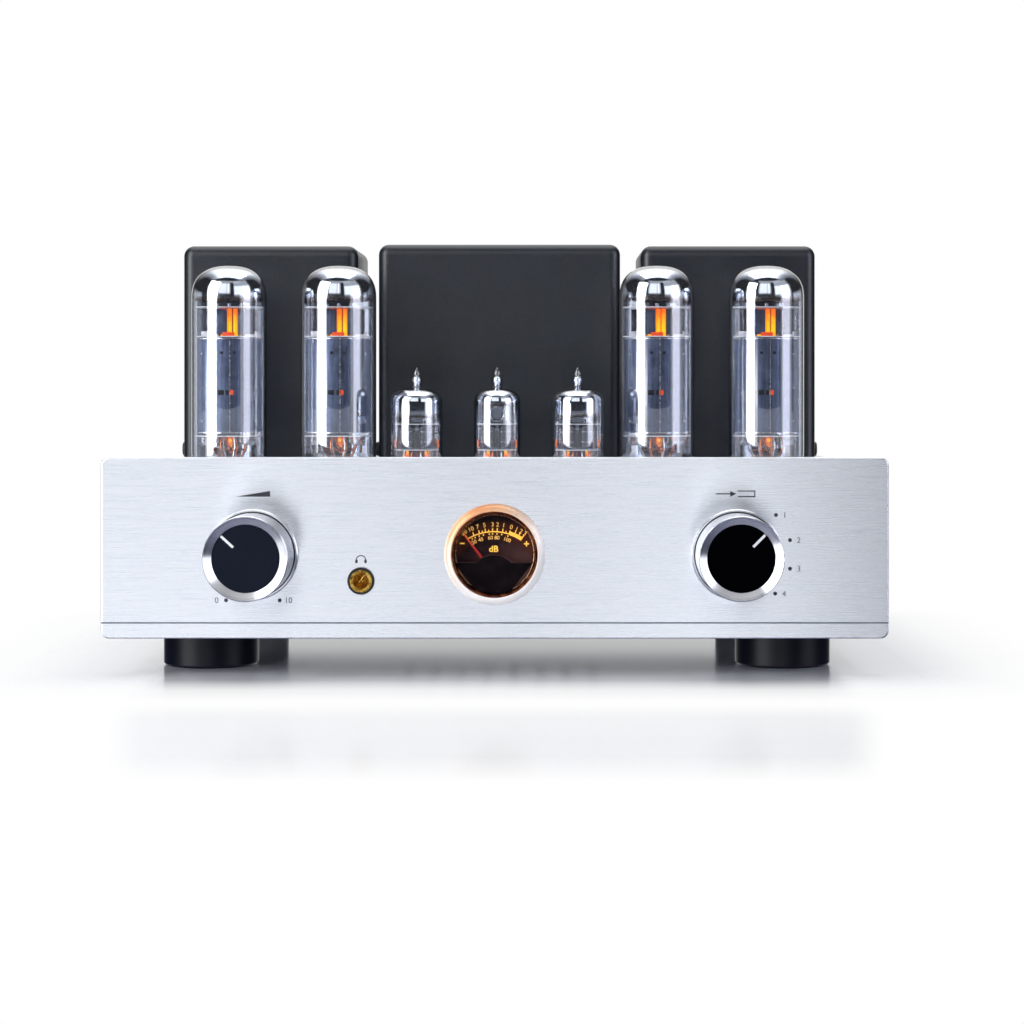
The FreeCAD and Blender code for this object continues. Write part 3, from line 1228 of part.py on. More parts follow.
def power_rocker():
    """A rocker with two sloping faces. It stands at rest with its lower half pressed in."""
    pivot_x = -HALF_W - SWITCH_FLANGE_T + ROCKER_PIVOT_IN
    half_l = SWITCH_WELL_W / 2 - LOOSE
    y0 = ROCKER_BACK - half_l
    y1 = ROCKER_BACK + half_l
    drum = rod_y(pivot_x, y0, y1, ROCKER_Z, 2 * ROCKER_R)
    slope = math.tan(math.radians(ROCKER_TILT)) * 2 * ROCKER_R
    far = pivot_x - 3 * ROCKER_R
    middle = pivot_x - ROCKER_MIDDLE
    outside = [vec(middle, y0, ROCKER_Z), vec(middle - slope, y0, ROCKER_Z + 2 * ROCKER_R),
               vec(far, y0, ROCKER_Z + 2 * ROCKER_R), vec(far, y0, ROCKER_Z - 2 * ROCKER_R),
               vec(middle - slope, y0, ROCKER_Z - 2 * ROCKER_R)]
    drum = drum.cut(extruded(outside, vec(0, y1 - y0, 0)))
    pin = rod_y(pivot_x, y0 - ROCKER_PIN_L + RUN, y1 + ROCKER_PIN_L - RUN, ROCKER_Z, ROCKER_PIN_D)
    rocker = drum.fuse(pin)
    rocker.rotate(vec(pivot_x, 0, ROCKER_Z), vec(0, 1, 0), -ROCKER_TILT)
    return rocker


# Every node, and its solid or solids


def all_nodes():
    nodes = {
        "faceplate": faceplate(),
        "chassis_deck": chassis_deck(),
        "chassis_walls": [side_wall(-1), side_wall(1), front_wall()],
        "rear_panel": rear_panel(),
        "bottom_cover": bottom_cover(),
        "chassis_fasteners": chassis_screws() + board_spacers() + control_nuts() + rear_nuts(),
        "feet": feet(),
        "power_cover": cover(0.0, MIDDLE_COVER_W, MIDDLE_COVER_H),
        "output_covers": [cover(x, SIDE_COVER_W, SIDE_COVER_H) for x in (-SIDE_COVER_X, SIDE_COVER_X)],
        "cover_brackets": cover_brackets(),
        "cover_screws": cover_screws(),
        "transformer_cores": transformers(transformer_core),
        "transformer_coils": transformers(transformer_coil),
        "socket_rings": socket_rings(),
        "socket_cores": socket_cores(),
        "tube_board": tube_board(),
        "board_capacitors": board_capacitors(),
        "knob_rings": knob_rings(),
        "panel_controls": [control_body(-CONTROL_X, POT_D, POT_L, 3),
                           control_body(CONTROL_X, SELECTOR_D, SELECTOR_L, 5)],
        "meter_bezel": meter_bezel(),
        "meter_glass": meter_glass(),
        "meter_dial": meter_dial(),
        "meter_needle": meter_needle(),
        "meter_housing": meter_housing(),
        "headphone_jack": headphone_jack(),
        "jack_washer": jack_washer(),
        "mains_inlet": mains_inlet(),
        "fuse_drawer": fuse_drawer(),
        "power_switch": power_switch(),
        "power_rocker": power_rocker(),
        "input_sockets": input_sockets(),
        "terminal_posts": terminal_posts(),
    }
    for name, x in (("volume", -CONTROL_X), ("selector", CONTROL_X)):
        nodes[name + "_knob"] = knob(x)
        nodes[name + "_insert"] = knob_insert(x)
        nodes[name + "_shaft"] = control_shaft(x)
    cap_names = ("right_minus_cap", "right_plus_cap", "left_minus_cap", "left_plus_cap")
    for name, x in zip(cap_names, post_places()):
        nodes[name] = terminal_cap(x)
    for i, x in enumerate(POWER_X, 1):
        nodes[f"power_tube_{i}_glass"] = power_tube_glass(x)
        nodes[f"power_tube_{i}_base"] = power_tube_base(x)
        nodes[f"power_tube_{i}_electrodes"] = power_tube_electrodes(x)
    for i, (x, d) in enumerate(zip(SMALL_X, SMALL_D), 1):
        nodes[f"small_tube_{i}_glass"] = small_tube_glass(x, d)
        nodes[f"small_tube_{i}_electrodes"] = small_tube_electrodes(x, d)
    return nodes


def main():
    os.makedirs("parts", exist_ok=True)
    nodes = all_nodes()
    for name, made in nodes.items():
        shape = Part.makeCompound(made) if isinstance(made, list) else made
        shape.translate(vec(0, -Y_MID, 0))
        if not shape.isValid():
            print("not valid:", name)
        shape.exportStep(f"parts/{name}.step")
    print(len(nodes), "nodes; faceplate", FACE_W, "by", FACE_H, "; shift along Y", round(-Y_MID, 3))
    print("covers from", COVER_FRONT, "to", COVER_BACK, "; body depth", BODY_DEPTH, "; deck top", DECK_TOP)
    print("tube rows at", SMALL_Y, "and", POWER_Y, "; pivot Z", PIVOT_Z, "; control Z", CONTROL_Z)


main()
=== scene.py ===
import math

import bmesh
import bpy
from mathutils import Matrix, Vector


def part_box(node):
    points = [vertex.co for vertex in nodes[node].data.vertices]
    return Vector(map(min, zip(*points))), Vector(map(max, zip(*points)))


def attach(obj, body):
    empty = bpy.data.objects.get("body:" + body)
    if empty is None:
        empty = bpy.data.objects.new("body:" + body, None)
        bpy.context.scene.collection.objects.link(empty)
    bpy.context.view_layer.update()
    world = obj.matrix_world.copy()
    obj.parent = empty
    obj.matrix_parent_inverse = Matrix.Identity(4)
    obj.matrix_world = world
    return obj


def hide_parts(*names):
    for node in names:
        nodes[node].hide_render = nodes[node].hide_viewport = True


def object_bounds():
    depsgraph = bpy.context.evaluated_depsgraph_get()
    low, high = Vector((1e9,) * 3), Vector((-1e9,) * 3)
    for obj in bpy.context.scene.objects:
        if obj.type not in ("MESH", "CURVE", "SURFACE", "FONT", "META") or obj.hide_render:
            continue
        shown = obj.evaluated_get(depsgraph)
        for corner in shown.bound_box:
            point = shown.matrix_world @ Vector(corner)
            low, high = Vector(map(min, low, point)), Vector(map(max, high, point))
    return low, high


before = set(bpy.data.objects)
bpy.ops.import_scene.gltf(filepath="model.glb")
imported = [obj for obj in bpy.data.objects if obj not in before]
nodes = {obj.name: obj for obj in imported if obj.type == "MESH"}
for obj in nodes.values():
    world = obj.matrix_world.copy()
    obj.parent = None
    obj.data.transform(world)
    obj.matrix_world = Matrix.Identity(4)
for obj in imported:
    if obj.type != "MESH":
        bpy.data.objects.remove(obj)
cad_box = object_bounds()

# The looks of a tube integrated amplifier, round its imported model. Lengths are in millimetres
# until a mesh is made, and X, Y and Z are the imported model's own, with the front towards -Y.

MM = 0.001


def mm_box(node):
    """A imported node's corners in millimetres."""
    low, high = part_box(node)
    return low / MM, high / MM


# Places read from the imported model
FACE_LOW, FACE_HIGH = mm_box("faceplate")
FRONT = FACE_LOW.y
INSERT_LOW, INSERT_HIGH = mm_box("volume_insert")
INSERT_R = (INSERT_HIGH.x - INSERT_LOW.x) / 2
CONTROL_Z = (INSERT_LOW.z + INSERT_HIGH.z) / 2
VOLUME_X = (INSERT_LOW.x + INSERT_HIGH.x) / 2
# The selector stands as far to the right as the volume knob to the left
SELECTOR_X = -VOLUME_X
JACK_LOW, JACK_HIGH = mm_box("jack_washer")
JACK_X = (JACK_LOW.x + JACK_HIGH.x) / 2
JACK_Z = (JACK_LOW.z + JACK_HIGH.z) / 2
BEZEL_LOW, BEZEL_HIGH = mm_box("meter_bezel")

# Camera: level, one metre ahead of the faceplate, its picture shifted to the photograph's frame
CAMERA_AHEAD = 1000.0
CAMERA_X = 20.4
CAMERA_Z = 119.4
LENS = 86.6
SENSOR = 36.0
PICTURE = 1024
AXIS_PIXEL = (545, 382)

camera_data = bpy.data.cameras.new("camera")
camera_data.lens = LENS
camera_data.sensor_width = SENSOR
camera_data.shift_x = (PICTURE / 2 - AXIS_PIXEL[0]) / PICTURE
camera_data.shift_y = (AXIS_PIXEL[1] - PICTURE / 2) / PICTURE
camera_data.clip_start = 0.05
camera_data.clip_end = 50.0
camera = bpy.data.objects.new("camera", camera_data)
camera.location = Vector((CAMERA_X, FRONT - CAMERA_AHEAD, CAMERA_Z)) * MM
camera.rotation_euler = (math.radians(90), 0, 0)
bpy.context.scene.collection.objects.link(camera)
bpy.context.scene.camera = camera


# Shapes. Each is (points, faces) in millimetres, and an outline or a profile is a list of pairs.


def lofted(loops, ends="open"):
    """Loops of as many points each, or of a single point, joined one to the next.

    The two ends are open, or capped with a face each, or joined to each other.
    """
    points = []
    rows = []
    for loop in loops:
        rows.append(range(len(points), len(points) + len(loop)))
        points += [tuple(p) for p in loop]
    pairs = list(zip(rows, rows[1:]))
    if ends == "joined":
        pairs.append((rows[-1], rows[0]))
    faces = [tuple(rows[0]), tuple(rows[-1])] if ends == "capped" else []
    steps = max(map(len, loops))
    for a, b in pairs:
        for i in range(steps):
            j = (i + 1) % steps
            corners = (a[i % len(a)], a[j % len(a)], b[j % len(b)], b[i % len(b)])
            # A loop of a single point gives the same corner twice
            face = tuple(dict.fromkeys(corners))
            if len(face) > 2:
                faces.append(face)
    return points, faces


def turned(profile, centre=(0, 0, 0), axis="z", steps=96, closed=True):
    """A profile of (radius, height) turned about an axis: z runs up, and y runs towards the viewer."""
    cx, cy, cz = centre
    loops = []
    for radius, height in profile:
        circle = disc(0, 0, radius, steps) if radius > 1e-6 else [(0, 0)]
        if axis == "z":
            loops.append([(cx + a, cy + b, cz + height) for a, b in circle])
        else:
            loops.append([(cx + a, cy - height, cz + b) for a, b in circle])
    return lofted(loops, "joined" if closed else "open")


def softened(corners, steps=4):
    """An outline or profile whose corners are (first, second, rounding), with each rounding drawn."""
    out = []
    count = len(corners)
    for i, (r, h, soft) in enumerate(corners):
        here = Vector((r, h))
        if soft <= 0:
            out.append((r, h))
            continue
        before = Vector(corners[i - 1][:2])
        after = Vector(corners[(i + 1) % count][:2])
        start = here + (before - here).normalized() * soft
        end = here + (after - here).normalized() * soft
        for k in range(steps + 1):
            t = k / steps
            p = start * (1 - t) ** 2 + here * 2 * t * (1 - t) + end * t ** 2
            out.append((p.x, p.y))
    return out


def about(middle, reach):
    return (middle - reach, middle + reach)


def block(across, along, up, soft):
    """A box with rounded edges, between the low and the high end given for each of its directions."""
    sides = (across, along, up)
    bm = bmesh.new()
    bmesh.ops.create_cube(bm, size=1.0)
    for v in bm.verts:
        v.co = [low + (c + 0.5) * (high - low) for c, (low, high) in zip(v.co, sides)]
    bmesh.ops.bevel(bm, geom=list(bm.edges), offset=soft, segments=2, profile=0.5, affect="EDGES",
                    clamp_overlap=True)
    bm.verts.index_update()
    points = [tuple(v.co) for v in bm.verts]
    faces = [tuple(v.index for v in f.verts) for f in bm.faces]
    bm.free()
    return points, faces


def prism(outline, y, depth):
    """An outline of (x, z) on the plane y, drawn out towards the viewer."""
    return lofted([[(x, level, z) for x, z in outline] for level in (y, y - depth)], "capped")


def upright(outline, low, high):
    """An outline of (x, y) points drawn out from low to high."""
    return lofted([[(x, y, level) for x, y in outline] for level in (low, high)], "capped")


def grown(outline, centre, across, along):
    """An outline stretched about its centre."""
    cx, cy = centre
    return [(cx + (x - cx) * across, cy + (y - cy) * along) for x, y in outline]


def rod(x, y, low, high, r, steps=16):
    return turned([(0, low), (r, low), (r, high), (0, high)], (x, y, 0), "z", steps)


def rectangle(x0, z0, x1, z1):
    return [(x0, z0), (x1, z0), (x1, z1), (x0, z1)]


def disc(x, z, r, steps=24):
    turns = [2 * math.pi * i / steps for i in range(steps)]
    return [(x + r * math.cos(t), z + r * math.sin(t)) for t in turns]


def bar(x, z, angle, start, end, width, tip=None):
    """The outline of a mark from start to end along a ray from (x, z), clockwise from the top.

    The tip, if given, is its width at the far end.
    """
    turn = math.radians(angle)
    tip = width if tip is None else tip
    ray = Vector((math.sin(turn), math.cos(turn)))
    side = Vector((ray.y, -ray.x))
    marks = []
    for reach, half in ((start, -width / 2), (start, width / 2), (end, tip / 2), (end, -tip / 2)):
        marks.append(tuple(Vector((x, z)) + ray * reach + side * half))
    return marks


def arc_band(x, z, r_in, r_out, start, end, y, depth, steps=24):
    """Part of a ring. Angles run clockwise from the top."""
    turns = [math.radians(start + (end - start) * i / steps) for i in range(steps + 1)]
    outer, inner = [[(x + r * math.sin(t), z + r * math.cos(t)) for t in turns] for r in (r_out, r_in)]
    return strip(outer, inner, y, depth)


def strip(one, other, y, depth):
    """A flat band between two lines of (x, z) points, drawn out towards the viewer."""
    return lofted([[(ax, y, az), (bx, y, bz), (bx, y - depth, bz), (ax, y - depth, az)]
                   for (ax, az), (bx, bz) in zip(one, other)], "capped")


def smooth_path(points, per=6):
    """A line through the points that bends without corners."""
    p = [Vector(q) for q in points]
    p = [p[0] * 2 - p[1]] + p + [p[-1] * 2 - p[-2]]
    out = []
    for a, b, c, d in zip(p, p[1:], p[2:], p[3:]):
        for k in range(per):
            t = k / per
            out.append((b * 2 + (c - a) * t + (a * 2 - b * 5 + c * 4 - d) * t * t
                        + (b * 3 - a - c * 3 + d) * t ** 3) * 0.5)
    out.append(p[-2])
    return out


def wire(points, radius, bends=True, sides=8):
    """A round wire with closed ends, bent smoothly through its points or straight between them."""
    line = smooth_path(points) if bends else [Vector(q) for q in points]
    loops = []
    side = None
    for i, q in enumerate(line):
        ahead = (line[min(i + 1, len(line) - 1)] - line[max(i - 1, 0)]).normalized()
        if side is None:
            side = ahead.orthogonal().normalized()
        side = (side - ahead * side.dot(ahead)).normalized()
        up = ahead.cross(side)
        loops.append([q + side * a + up * b for a, b in disc(0, 0, radius, sides)])
    return lofted(loops, "capped")


def ring(centre, radius, thick, axis="z", sides=8, steps=40):
    """A wire ring."""
    return turned(disc(radius, 0, thick, sides), centre, axis, steps)


def letters(text, height, x, z, y, depth, turn=0.0, thin=0.0):
    """Plain numbers or signs on the plane y, centred on (x, z). The turn is clockwise."""
    curve = bpy.data.curves.new("letters", "FONT")
    curve.body = text
    curve.size = 1.0
    curve.resolution_u = 4
    curve.extrude = 0.5
    curve.offset = -thin
    holder = bpy.data.objects.new("letters", curve)
    bpy.context.scene.collection.objects.link(holder)
    made = bpy.data.meshes.new_from_object(holder.evaluated_get(bpy.context.evaluated_depsgraph_get()))
    xs = [v.co.x for v in made.vertices]
    ys = [v.co.y for v in made.vertices]
    middle = ((min(xs) + max(xs)) / 2, (min(ys) + max(ys)) / 2)
    # A capital letter or a figure is about 0.7 of the font's size
    scale = height / 0.7
    spin = math.radians(turn)
    points = []
    for v in made.vertices:
        a = (v.co.x - middle[0]) * scale
        b = (v.co.y - middle[1]) * scale
        points.append((x + a * math.cos(spin) + b * math.sin(spin), y - (v.co.z + 0.5) * depth,
                       z + b * math.cos(spin) - a * math.sin(spin)))
    faces = [tuple(p.vertices) for p in made.polygons]
    bpy.data.objects.remove(holder)
    bpy.data.meshes.remove(made)
    bpy.data.curves.remove(curve)
    return points, faces


class Piece:
    """One object of the scene, put together round an upright axis from shapes that each have a material."""

    def __init__(self, name, body="root", slot=None, axis=(0.0, 0.0)):
        self.name = name
        self.body = body
        self.slot = slot
        self.axis = axis
        self.points = []
        self.faces = []
        self.paints = []
        self.which = []
        self.inner = []

    def add(self, shape, paint, hollow=False, twice=False):
        """Adds a shape, and if twice its copy turned half round the axis.

        A hollow shape bounds a space inside another one, so its faces look inwards.
        """
        points, faces = shape
        if paint not in self.paints:
            self.paints.append(paint)
        ax, ay = self.axis
        for s in (1, -1) if twice else (1,):
            if hollow:
                self.inner += range(len(self.faces), len(self.faces) + len(faces))
            start = len(self.points)
            self.points += [(ax + s * x, ay + s * y, z) for x, y, z in points]
            self.faces += [tuple(i + start for i in f) for f in faces]
            self.which += [self.paints.index(paint)] * len(faces)

    def done(self, *stands_for, angle=32):
        mesh = bpy.data.meshes.new(self.name)
        mesh.from_pydata([Vector(p) * MM for p in self.points], [], self.faces)
        for paint in self.paints:
            mesh.materials.append(paint)
        mesh.polygons.foreach_set("material_index", self.which)
        bm = bmesh.new()
        bm.from_mesh(mesh)
        bmesh.ops.recalc_face_normals(bm, faces=bm.faces)
        bm.faces.ensure_lookup_table()
        bmesh.ops.reverse_faces(bm, faces=[bm.faces[i] for i in self.inner])
        bm.to_mesh(mesh)
        bm.free()
        mesh.polygons.foreach_set("use_smooth", [True] * len(mesh.polygons))
        mesh.set_sharp_from_angle(angle=math.radians(angle))
        thing = bpy.data.objects.new(self.name, mesh)
        bpy.context.scene.collection.objects.link(thing)
        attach(thing, self.body)
        if stands_for:
            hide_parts(*stands_for)


# Materials


def linear(colour):
    """A colour of 0 to 255, as a screen shows it, in the renderer's linear values."""
    out = []
    for c in colour:
        c = c / 255
        out.append(c / 12.92 if c <= 0.04045 else ((c + 0.055) / 1.055) ** 2.4)
    return (*out, 1.0)


class Nodes:
    """A tree of shading nodes."""

    def __init__(self, tree):
        self.tree = tree

    def node(self, kind, inputs=(), **settings):
        made = self.tree.nodes.new(kind)
        for key, value in settings.items():
            setattr(made, key, value)
        for key, value in dict(inputs).items():
            if isinstance(value, bpy.types.NodeSocket):
                self.tree.links.new(value, made.inputs[key])
            else:
                made.inputs[key].default_value = value
        return made

    def math(self, operation, value, *others):
        """An operation on one value, or along a row of values from left to right."""
        if not others:
            return self.node("ShaderNodeMath", {0: value}, operation=operation).outputs[0]
        for other in others:
            value = self.node("ShaderNodeMath", {0: value, 1: other}, operation=operation).outputs[0]
        return value

    def add(self, *values):
        return self.math("ADD", *values)

    def less(self, value, other):
        return self.math("SUBTRACT", value, other)

    def times(self, *values):
        return self.math("MULTIPLY", *values)

    def largest(self, *values):
        return self.math("MAXIMUM", *values)

    def mixed(self, *pairs):
        """The sum of values that are each given as (value, weight)."""
        return self.add(*[self.times(value, weight) for value, weight in pairs])

    def length(self, across, up):
        return self.math("SQRT", self.add(self.times(across, across), self.times(up, up)))

    def between(self, value, low, high, to_low=0.0, to_high=1.0, kind="LINEAR"):
        inputs = {"Value": value, "From Min": low, "From Max": high, "To Min": to_low, "To Max": to_high}
        return self.node("ShaderNodeMapRange", inputs, interpolation_type=kind).outputs[0]

    def spread(self, noise, low, high):
        """Noise, which lies mostly between 0.3 and 0.7, spread from low to high."""
        return self.between(noise, 0.3, 0.7, low, high)

    def ramp(self, value, *stops):
        """Levels along a value of 0 to 1. Each stop is (place, level), or (place, linear colour)."""
        made = self.node("ShaderNodeValToRGB", {"Fac": value})
        elements = made.color_ramp.elements
        while len(elements) < len(stops):
            elements.new(0.5)
        for element, (place, level) in zip(elements, stops):
            element.position = place
            element.color = level if isinstance(level, tuple) else (level, level, level, 1.0)
        return made.outputs[0]

    def rays(self):
        return self.node("ShaderNodeLightPath").outputs


class Paint(Nodes):
    """A material round one Principled shader, and the nodes that give it its pattern."""

    def __init__(self, name, colour, metal=0.0, rough=0.5, **sockets):
        self.made = bpy.data.materials.new(name)
        self.made.use_nodes = True
        super().__init__(self.made.node_tree)
        self.shader = self.tree.nodes["Principled BSDF"]
        self.shader.inputs["Base Color"].default_value = linear(colour)
        self.shader.inputs["Metallic"].default_value = metal
        self.shader.inputs["Roughness"].default_value = rough
        for key, value in sockets.items():
            self.shader.inputs[key.replace("_", " ")].default_value = value

    def place(self, stretch=(1.0, 1.0, 1.0), shift=(0.0, 0.0, 0.0)):
        """Places on the object in millimetres, less the shift, times the stretch."""
        source = self.node("ShaderNodeTexCoord").outputs["Object"]
        scale = [s / MM for s in stretch]
        move = [-a * b for a, b in zip(shift, stretch)]
        inputs = {"Vector": source, "Scale": scale, "Location": move}
        return self.node("ShaderNodeMapping", inputs).outputs[0]

    def noise(self, cell, detail=2.0, stretch=(1.0, 1.0, 1.0), rough=0.5):
        """Noise with cells of about the given size in millimetres."""
        inputs = {"Vector": self.place(stretch), "Scale": 1 / cell, "Detail": detail, "Roughness": rough}
        return self.node("ShaderNodeTexNoise", inputs).outputs[0]

    def colours(self, value, *stops):
        """Colours along a value of 0 to 1. Each stop is (place, colour)."""
        return self.ramp(value, *[(place, linear(colour)) for place, colour in stops])

    def distance(self, z):
        """How far a place is from a point at a height in the middle, seen from the front."""
        vector = self.place((1.0, 0.0, 1.0), (0.0, 0.0, z))
        return self.node("ShaderNodeVectorMath", {0: vector}, operation="LENGTH").outputs["Value"]

    def axes(self, stretch=(1.0, 1.0, 1.0), shift=(0.0, 0.0, 0.0)):
        return self.node("ShaderNodeSeparateXYZ", {0: self.place(stretch, shift)}).outputs

    def into(self, socket, output):
        self.tree.links.new(output, self.shader.inputs[socket])
        return self

    def tinted(self, value, *stops):
        return self.into("Base Color", self.colours(value, *stops))

    def roughened(self, noise, low, high):
        return self.into("Roughness", self.spread(noise, low, high))

    def bump(self, height, depth):
        """Relief of the given depth in millimetres."""
        inputs = {"Height": height, "Distance": depth * MM, "Strength": 1.0}
        return self.into("Normal", self.node("ShaderNodeBump", inputs).outputs[0])

    def tangent(self, axis):
        made = self.node("ShaderNodeTangent", direction_type="RADIAL", axis=axis)
        return self.into("Tangent", made.outputs[0])

    def cover(self, share, other):
        """Shows another shader in place of the material's own by a share from nodes."""
        mix = self.node("ShaderNodeMixShader", {0: share, 1: self.shader.outputs[0], 2: other.outputs[0]})
        self.tree.links.new(mix.outputs[0], self.tree.nodes["Material Output"].inputs["Surface"])
        return self

    def clear(self, share):
        """Shows what is behind the surface by a share from nodes."""
        return self.cover(share, self.node("ShaderNodeBsdfTransparent"))


def brushed(name, colour, dark, rough=0.28):
    """Aluminium brushed along X."""
    paint = Paint(name, colour, 1.0, rough, Anisotropic=0.92)
    fine = paint.noise(0.3, 2.0, (0.011, 0.4, 1.0), 0.6)
    streak = paint.noise(0.9, 3.0, (0.02, 0.4, 1.0), 0.7)
    mixed = paint.mixed((fine, 0.55), (streak, 0.45))
    paint.tinted(mixed, (0.3, dark), (0.66, colour))
    paint.roughened(fine, rough - 0.04, rough + 0.05)
    return paint.bump(fine, 0.002).tangent("X").made


def lathed(name, colour, dark, rough, metal=1.0, pitch=0.22, pull=0.6, **sockets):
    """Metal turned about the axis of either control, with fine rings left by the tool."""
    paint = Paint(name, colour, metal, rough, Anisotropic=pull, Anisotropic_Rotation=0.25, **sockets)
    x, depth, z = paint.axes()
    across = paint.less(paint.math("ABSOLUTE", x), SELECTOR_X)
    along = paint.add(paint.length(across, paint.less(z, CONTROL_Z)), paint.times(depth, 1.3))
    joined = paint.node("ShaderNodeCombineXYZ", {0: along, 1: 0.0, 2: 0.0}).outputs[0]
    rings = paint.node("ShaderNodeTexNoise", {"Vector": joined, "Scale": 1 / pitch, "Detail": 2.0}).outputs[0]
    paint.tinted(rings, (0.35, dark), (0.6, colour))
    paint.roughened(rings, rough - 0.05, rough + 0.06)
    return paint.bump(rings, 0.006).tangent("Y").made


def powder(name, colour, light, cell, depth, rough, **sockets):
    """Fine textured powder coat."""
    paint = Paint(name, colour, 0.0, rough, **sockets)
    grain = paint.noise(cell, 3.0)
    mixed = paint.mixed((grain, 0.75), (paint.noise(14.0), 0.25))
    paint.tinted(mixed, (0.36, colour), (0.68, light))
    paint.roughened(grain, rough - 0.06, rough + 0.08)
    return paint.bump(grain, depth).made


def moulded(name, colour, light, rough=0.38, cell=0.35, depth=0.012, **sockets):
    """Moulded plastic with a faint grain."""
    paint = Paint(name, colour, 0.0, rough, **sockets)
    grain = paint.noise(cell)
    paint.tinted(paint.noise(6.0, 3.0), (0.4, colour), (0.65, light))
    paint.roughened(grain, rough - 0.05, rough + 0.06)
    return paint.bump(grain, depth).made


def plated(name, colour, dark, rough=0.25, cell=1.6):
    """Plated metal with slight clouding."""
    paint = Paint(name, colour, 1.0, rough)
    cloud = paint.noise(cell, 4.0)
    paint.tinted(cloud, (0.35, dark), (0.6, colour))
    paint.roughened(cloud, rough - 0.07, rough + 0.1)
    return paint.bump(cloud, 0.01).made


def banded(name, colour, light, pitch, axis, rough, metal, depth):
    """Thin layers stacked along an axis, such as laminations or turns of wire."""
    paint = Paint(name, colour, metal, rough)
    layers = paint.math("DIVIDE", paint.axes()[axis], pitch)
    layer = paint.times(paint.math("PINGPONG", layers, 0.5), 2.0)
    dirt = paint.mixed((layer, 0.7), (paint.noise(3.0, 3.0), 0.3))
    paint.tinted(dirt, (0.2, colour), (0.75, light))
    return paint.bump(layer, depth).made


def glow(name, top, low, strength, low_z, high_z):
    """A hot surface whose colour changes from its lower end to its top, with cloudy spots."""
    paint = Paint(name, low, 0.0, 0.6)
    cloud = paint.noise(2.2, 3.0)
    level = paint.add(paint.between(paint.axes()[2], low_z, high_z), cloud, -0.5)
    tint = paint.colours(level, (0.0, low), (0.45, low), (0.9, top))
    paint.into("Base Color", tint)
    paint.into("Emission Color", tint)
    return paint.into("Emission Strength", paint.spread(cloud, strength * 0.7, strength * 1.15)).made


def clear_glass(name, tint, least=0.0, **sockets):
    """Glass that bends light for the eye and lets lamps through to what is inside.

    A thin flat pane bends nothing, so least is the share of it that is plainly seen through.
    """
    paint = Paint(name, tint, 0.0, 0.0, Transmission_Weight=1.0, IOR=1.47, **sockets)
    path = paint.rays()
    return paint.clear(paint.largest(path["Is Shadow Ray"], path["Is Diffuse Ray"], least)).made


silver = plated("contact_silver", (225, 225, 222), (196, 196, 192), 0.16)
ink = moulded("black_ink", (34, 37, 44), (46, 49, 58), 0.55)
white_ink = moulded("white_ink", (236, 238, 242), (222, 226, 232), 0.45)
tube_glass = clear_glass("tube_glass", (240, 245, 255), Coat_Weight=1.0, Coat_IOR=1.8, Coat_Roughness=0.01)

# The centre of the dial's arcs and the needle's pivot
ARC_Z = CONTROL_Z - 11.6
PIVOT_Z = CONTROL_Z - 8.7


def dial_paint():
    """Brown-black dial plate with a painted glow of the meter's backlight: lighter and browner towards the
    lower right, and amber-brown along the scale.
    """
    paint = Paint("dial_plate", (30, 17, 20), 0.0, 0.5, Specular_IOR_Level=0.08)
    axes = paint.axes((0.03, 1.0, 0.06), (0.0, 0.0, CONTROL_Z + 8))
    grain = paint.noise(3.5, 3.0)
    # Painted backlight glow: lighter and browner towards the lower right
    mixed = paint.mixed((paint.less(axes[0], axes[2]), 0.8), (grain, 0.5))
    plate = paint.colours(mixed, (0.0, (17, 8, 12)), (0.45, (38, 20, 24)), (1.0, (76, 50, 50)))
    # Painted backlight glow in a band along the scale
    off = paint.math("ABSOLUTE", paint.less(paint.distance(ARC_Z), 21.4))
    near = paint.between(off, 1.5, 4.6, 0.75, 0.0, "SMOOTHSTEP")
    backlight_glow = paint.node("ShaderNodeMix", {0: near, 6: plate, 7: linear((74, 34, 16))}, data_type="RGBA")
    paint.into("Base Color", backlight_glow.outputs[2])
    return paint.roughened(grain, 0.42, 0.6).made


def needle_paint():
    """Red lacquer, brighter towards the tip, with a faint painted glow in the same colour."""
    paint = Paint("needle_red", (190, 40, 28), 0.0, 0.35, Emission_Strength=0.12)
    share = paint.between(paint.distance(PIVOT_Z), 6.0, 20.0)
    tint = paint.colours(share, (0.0, (122, 12, 18)), (0.55, (170, 20, 20)), (1.0, (236, 92, 44)))
    return paint.into("Base Color", tint).into("Emission Color", tint).made


def bezel_paint():
    """Satin rose gold, rich at the upper left. Its near-white right side and bottom are a painted highlight,
    and the metal share is lowered there too.
    """
    paint = Paint("rose_gold", (238, 190, 150), 0.32, 0.3, Anisotropic=0.5, Anisotropic_Rotation=0.25)
    axes = paint.axes((0.0125, 1.0, 0.0217), (0.0, 0.0, CONTROL_Z))
    cloud = paint.noise(7.0, 3.0)
    # Painted highlight: the colour runs from rich rose gold at the upper left to near white at the right and
    # at the bottom
    highlight_slope = paint.add(paint.less(axes[2], axes[0]), paint.times(cloud, 0.12), 0.44)
    paint.tinted(highlight_slope, (0.1, (255, 252, 250)), (0.34, (252, 245, 242)), (0.68, (243, 216, 196)),
                 (0.86, (236, 186, 146)), (1.0, (224, 150, 98)))
    paint.into("Metallic", paint.spread(highlight_slope, 0.06, 0.32))
    paint.roughened(cloud, 0.25, 0.36)
    return paint.tangent("Y").made


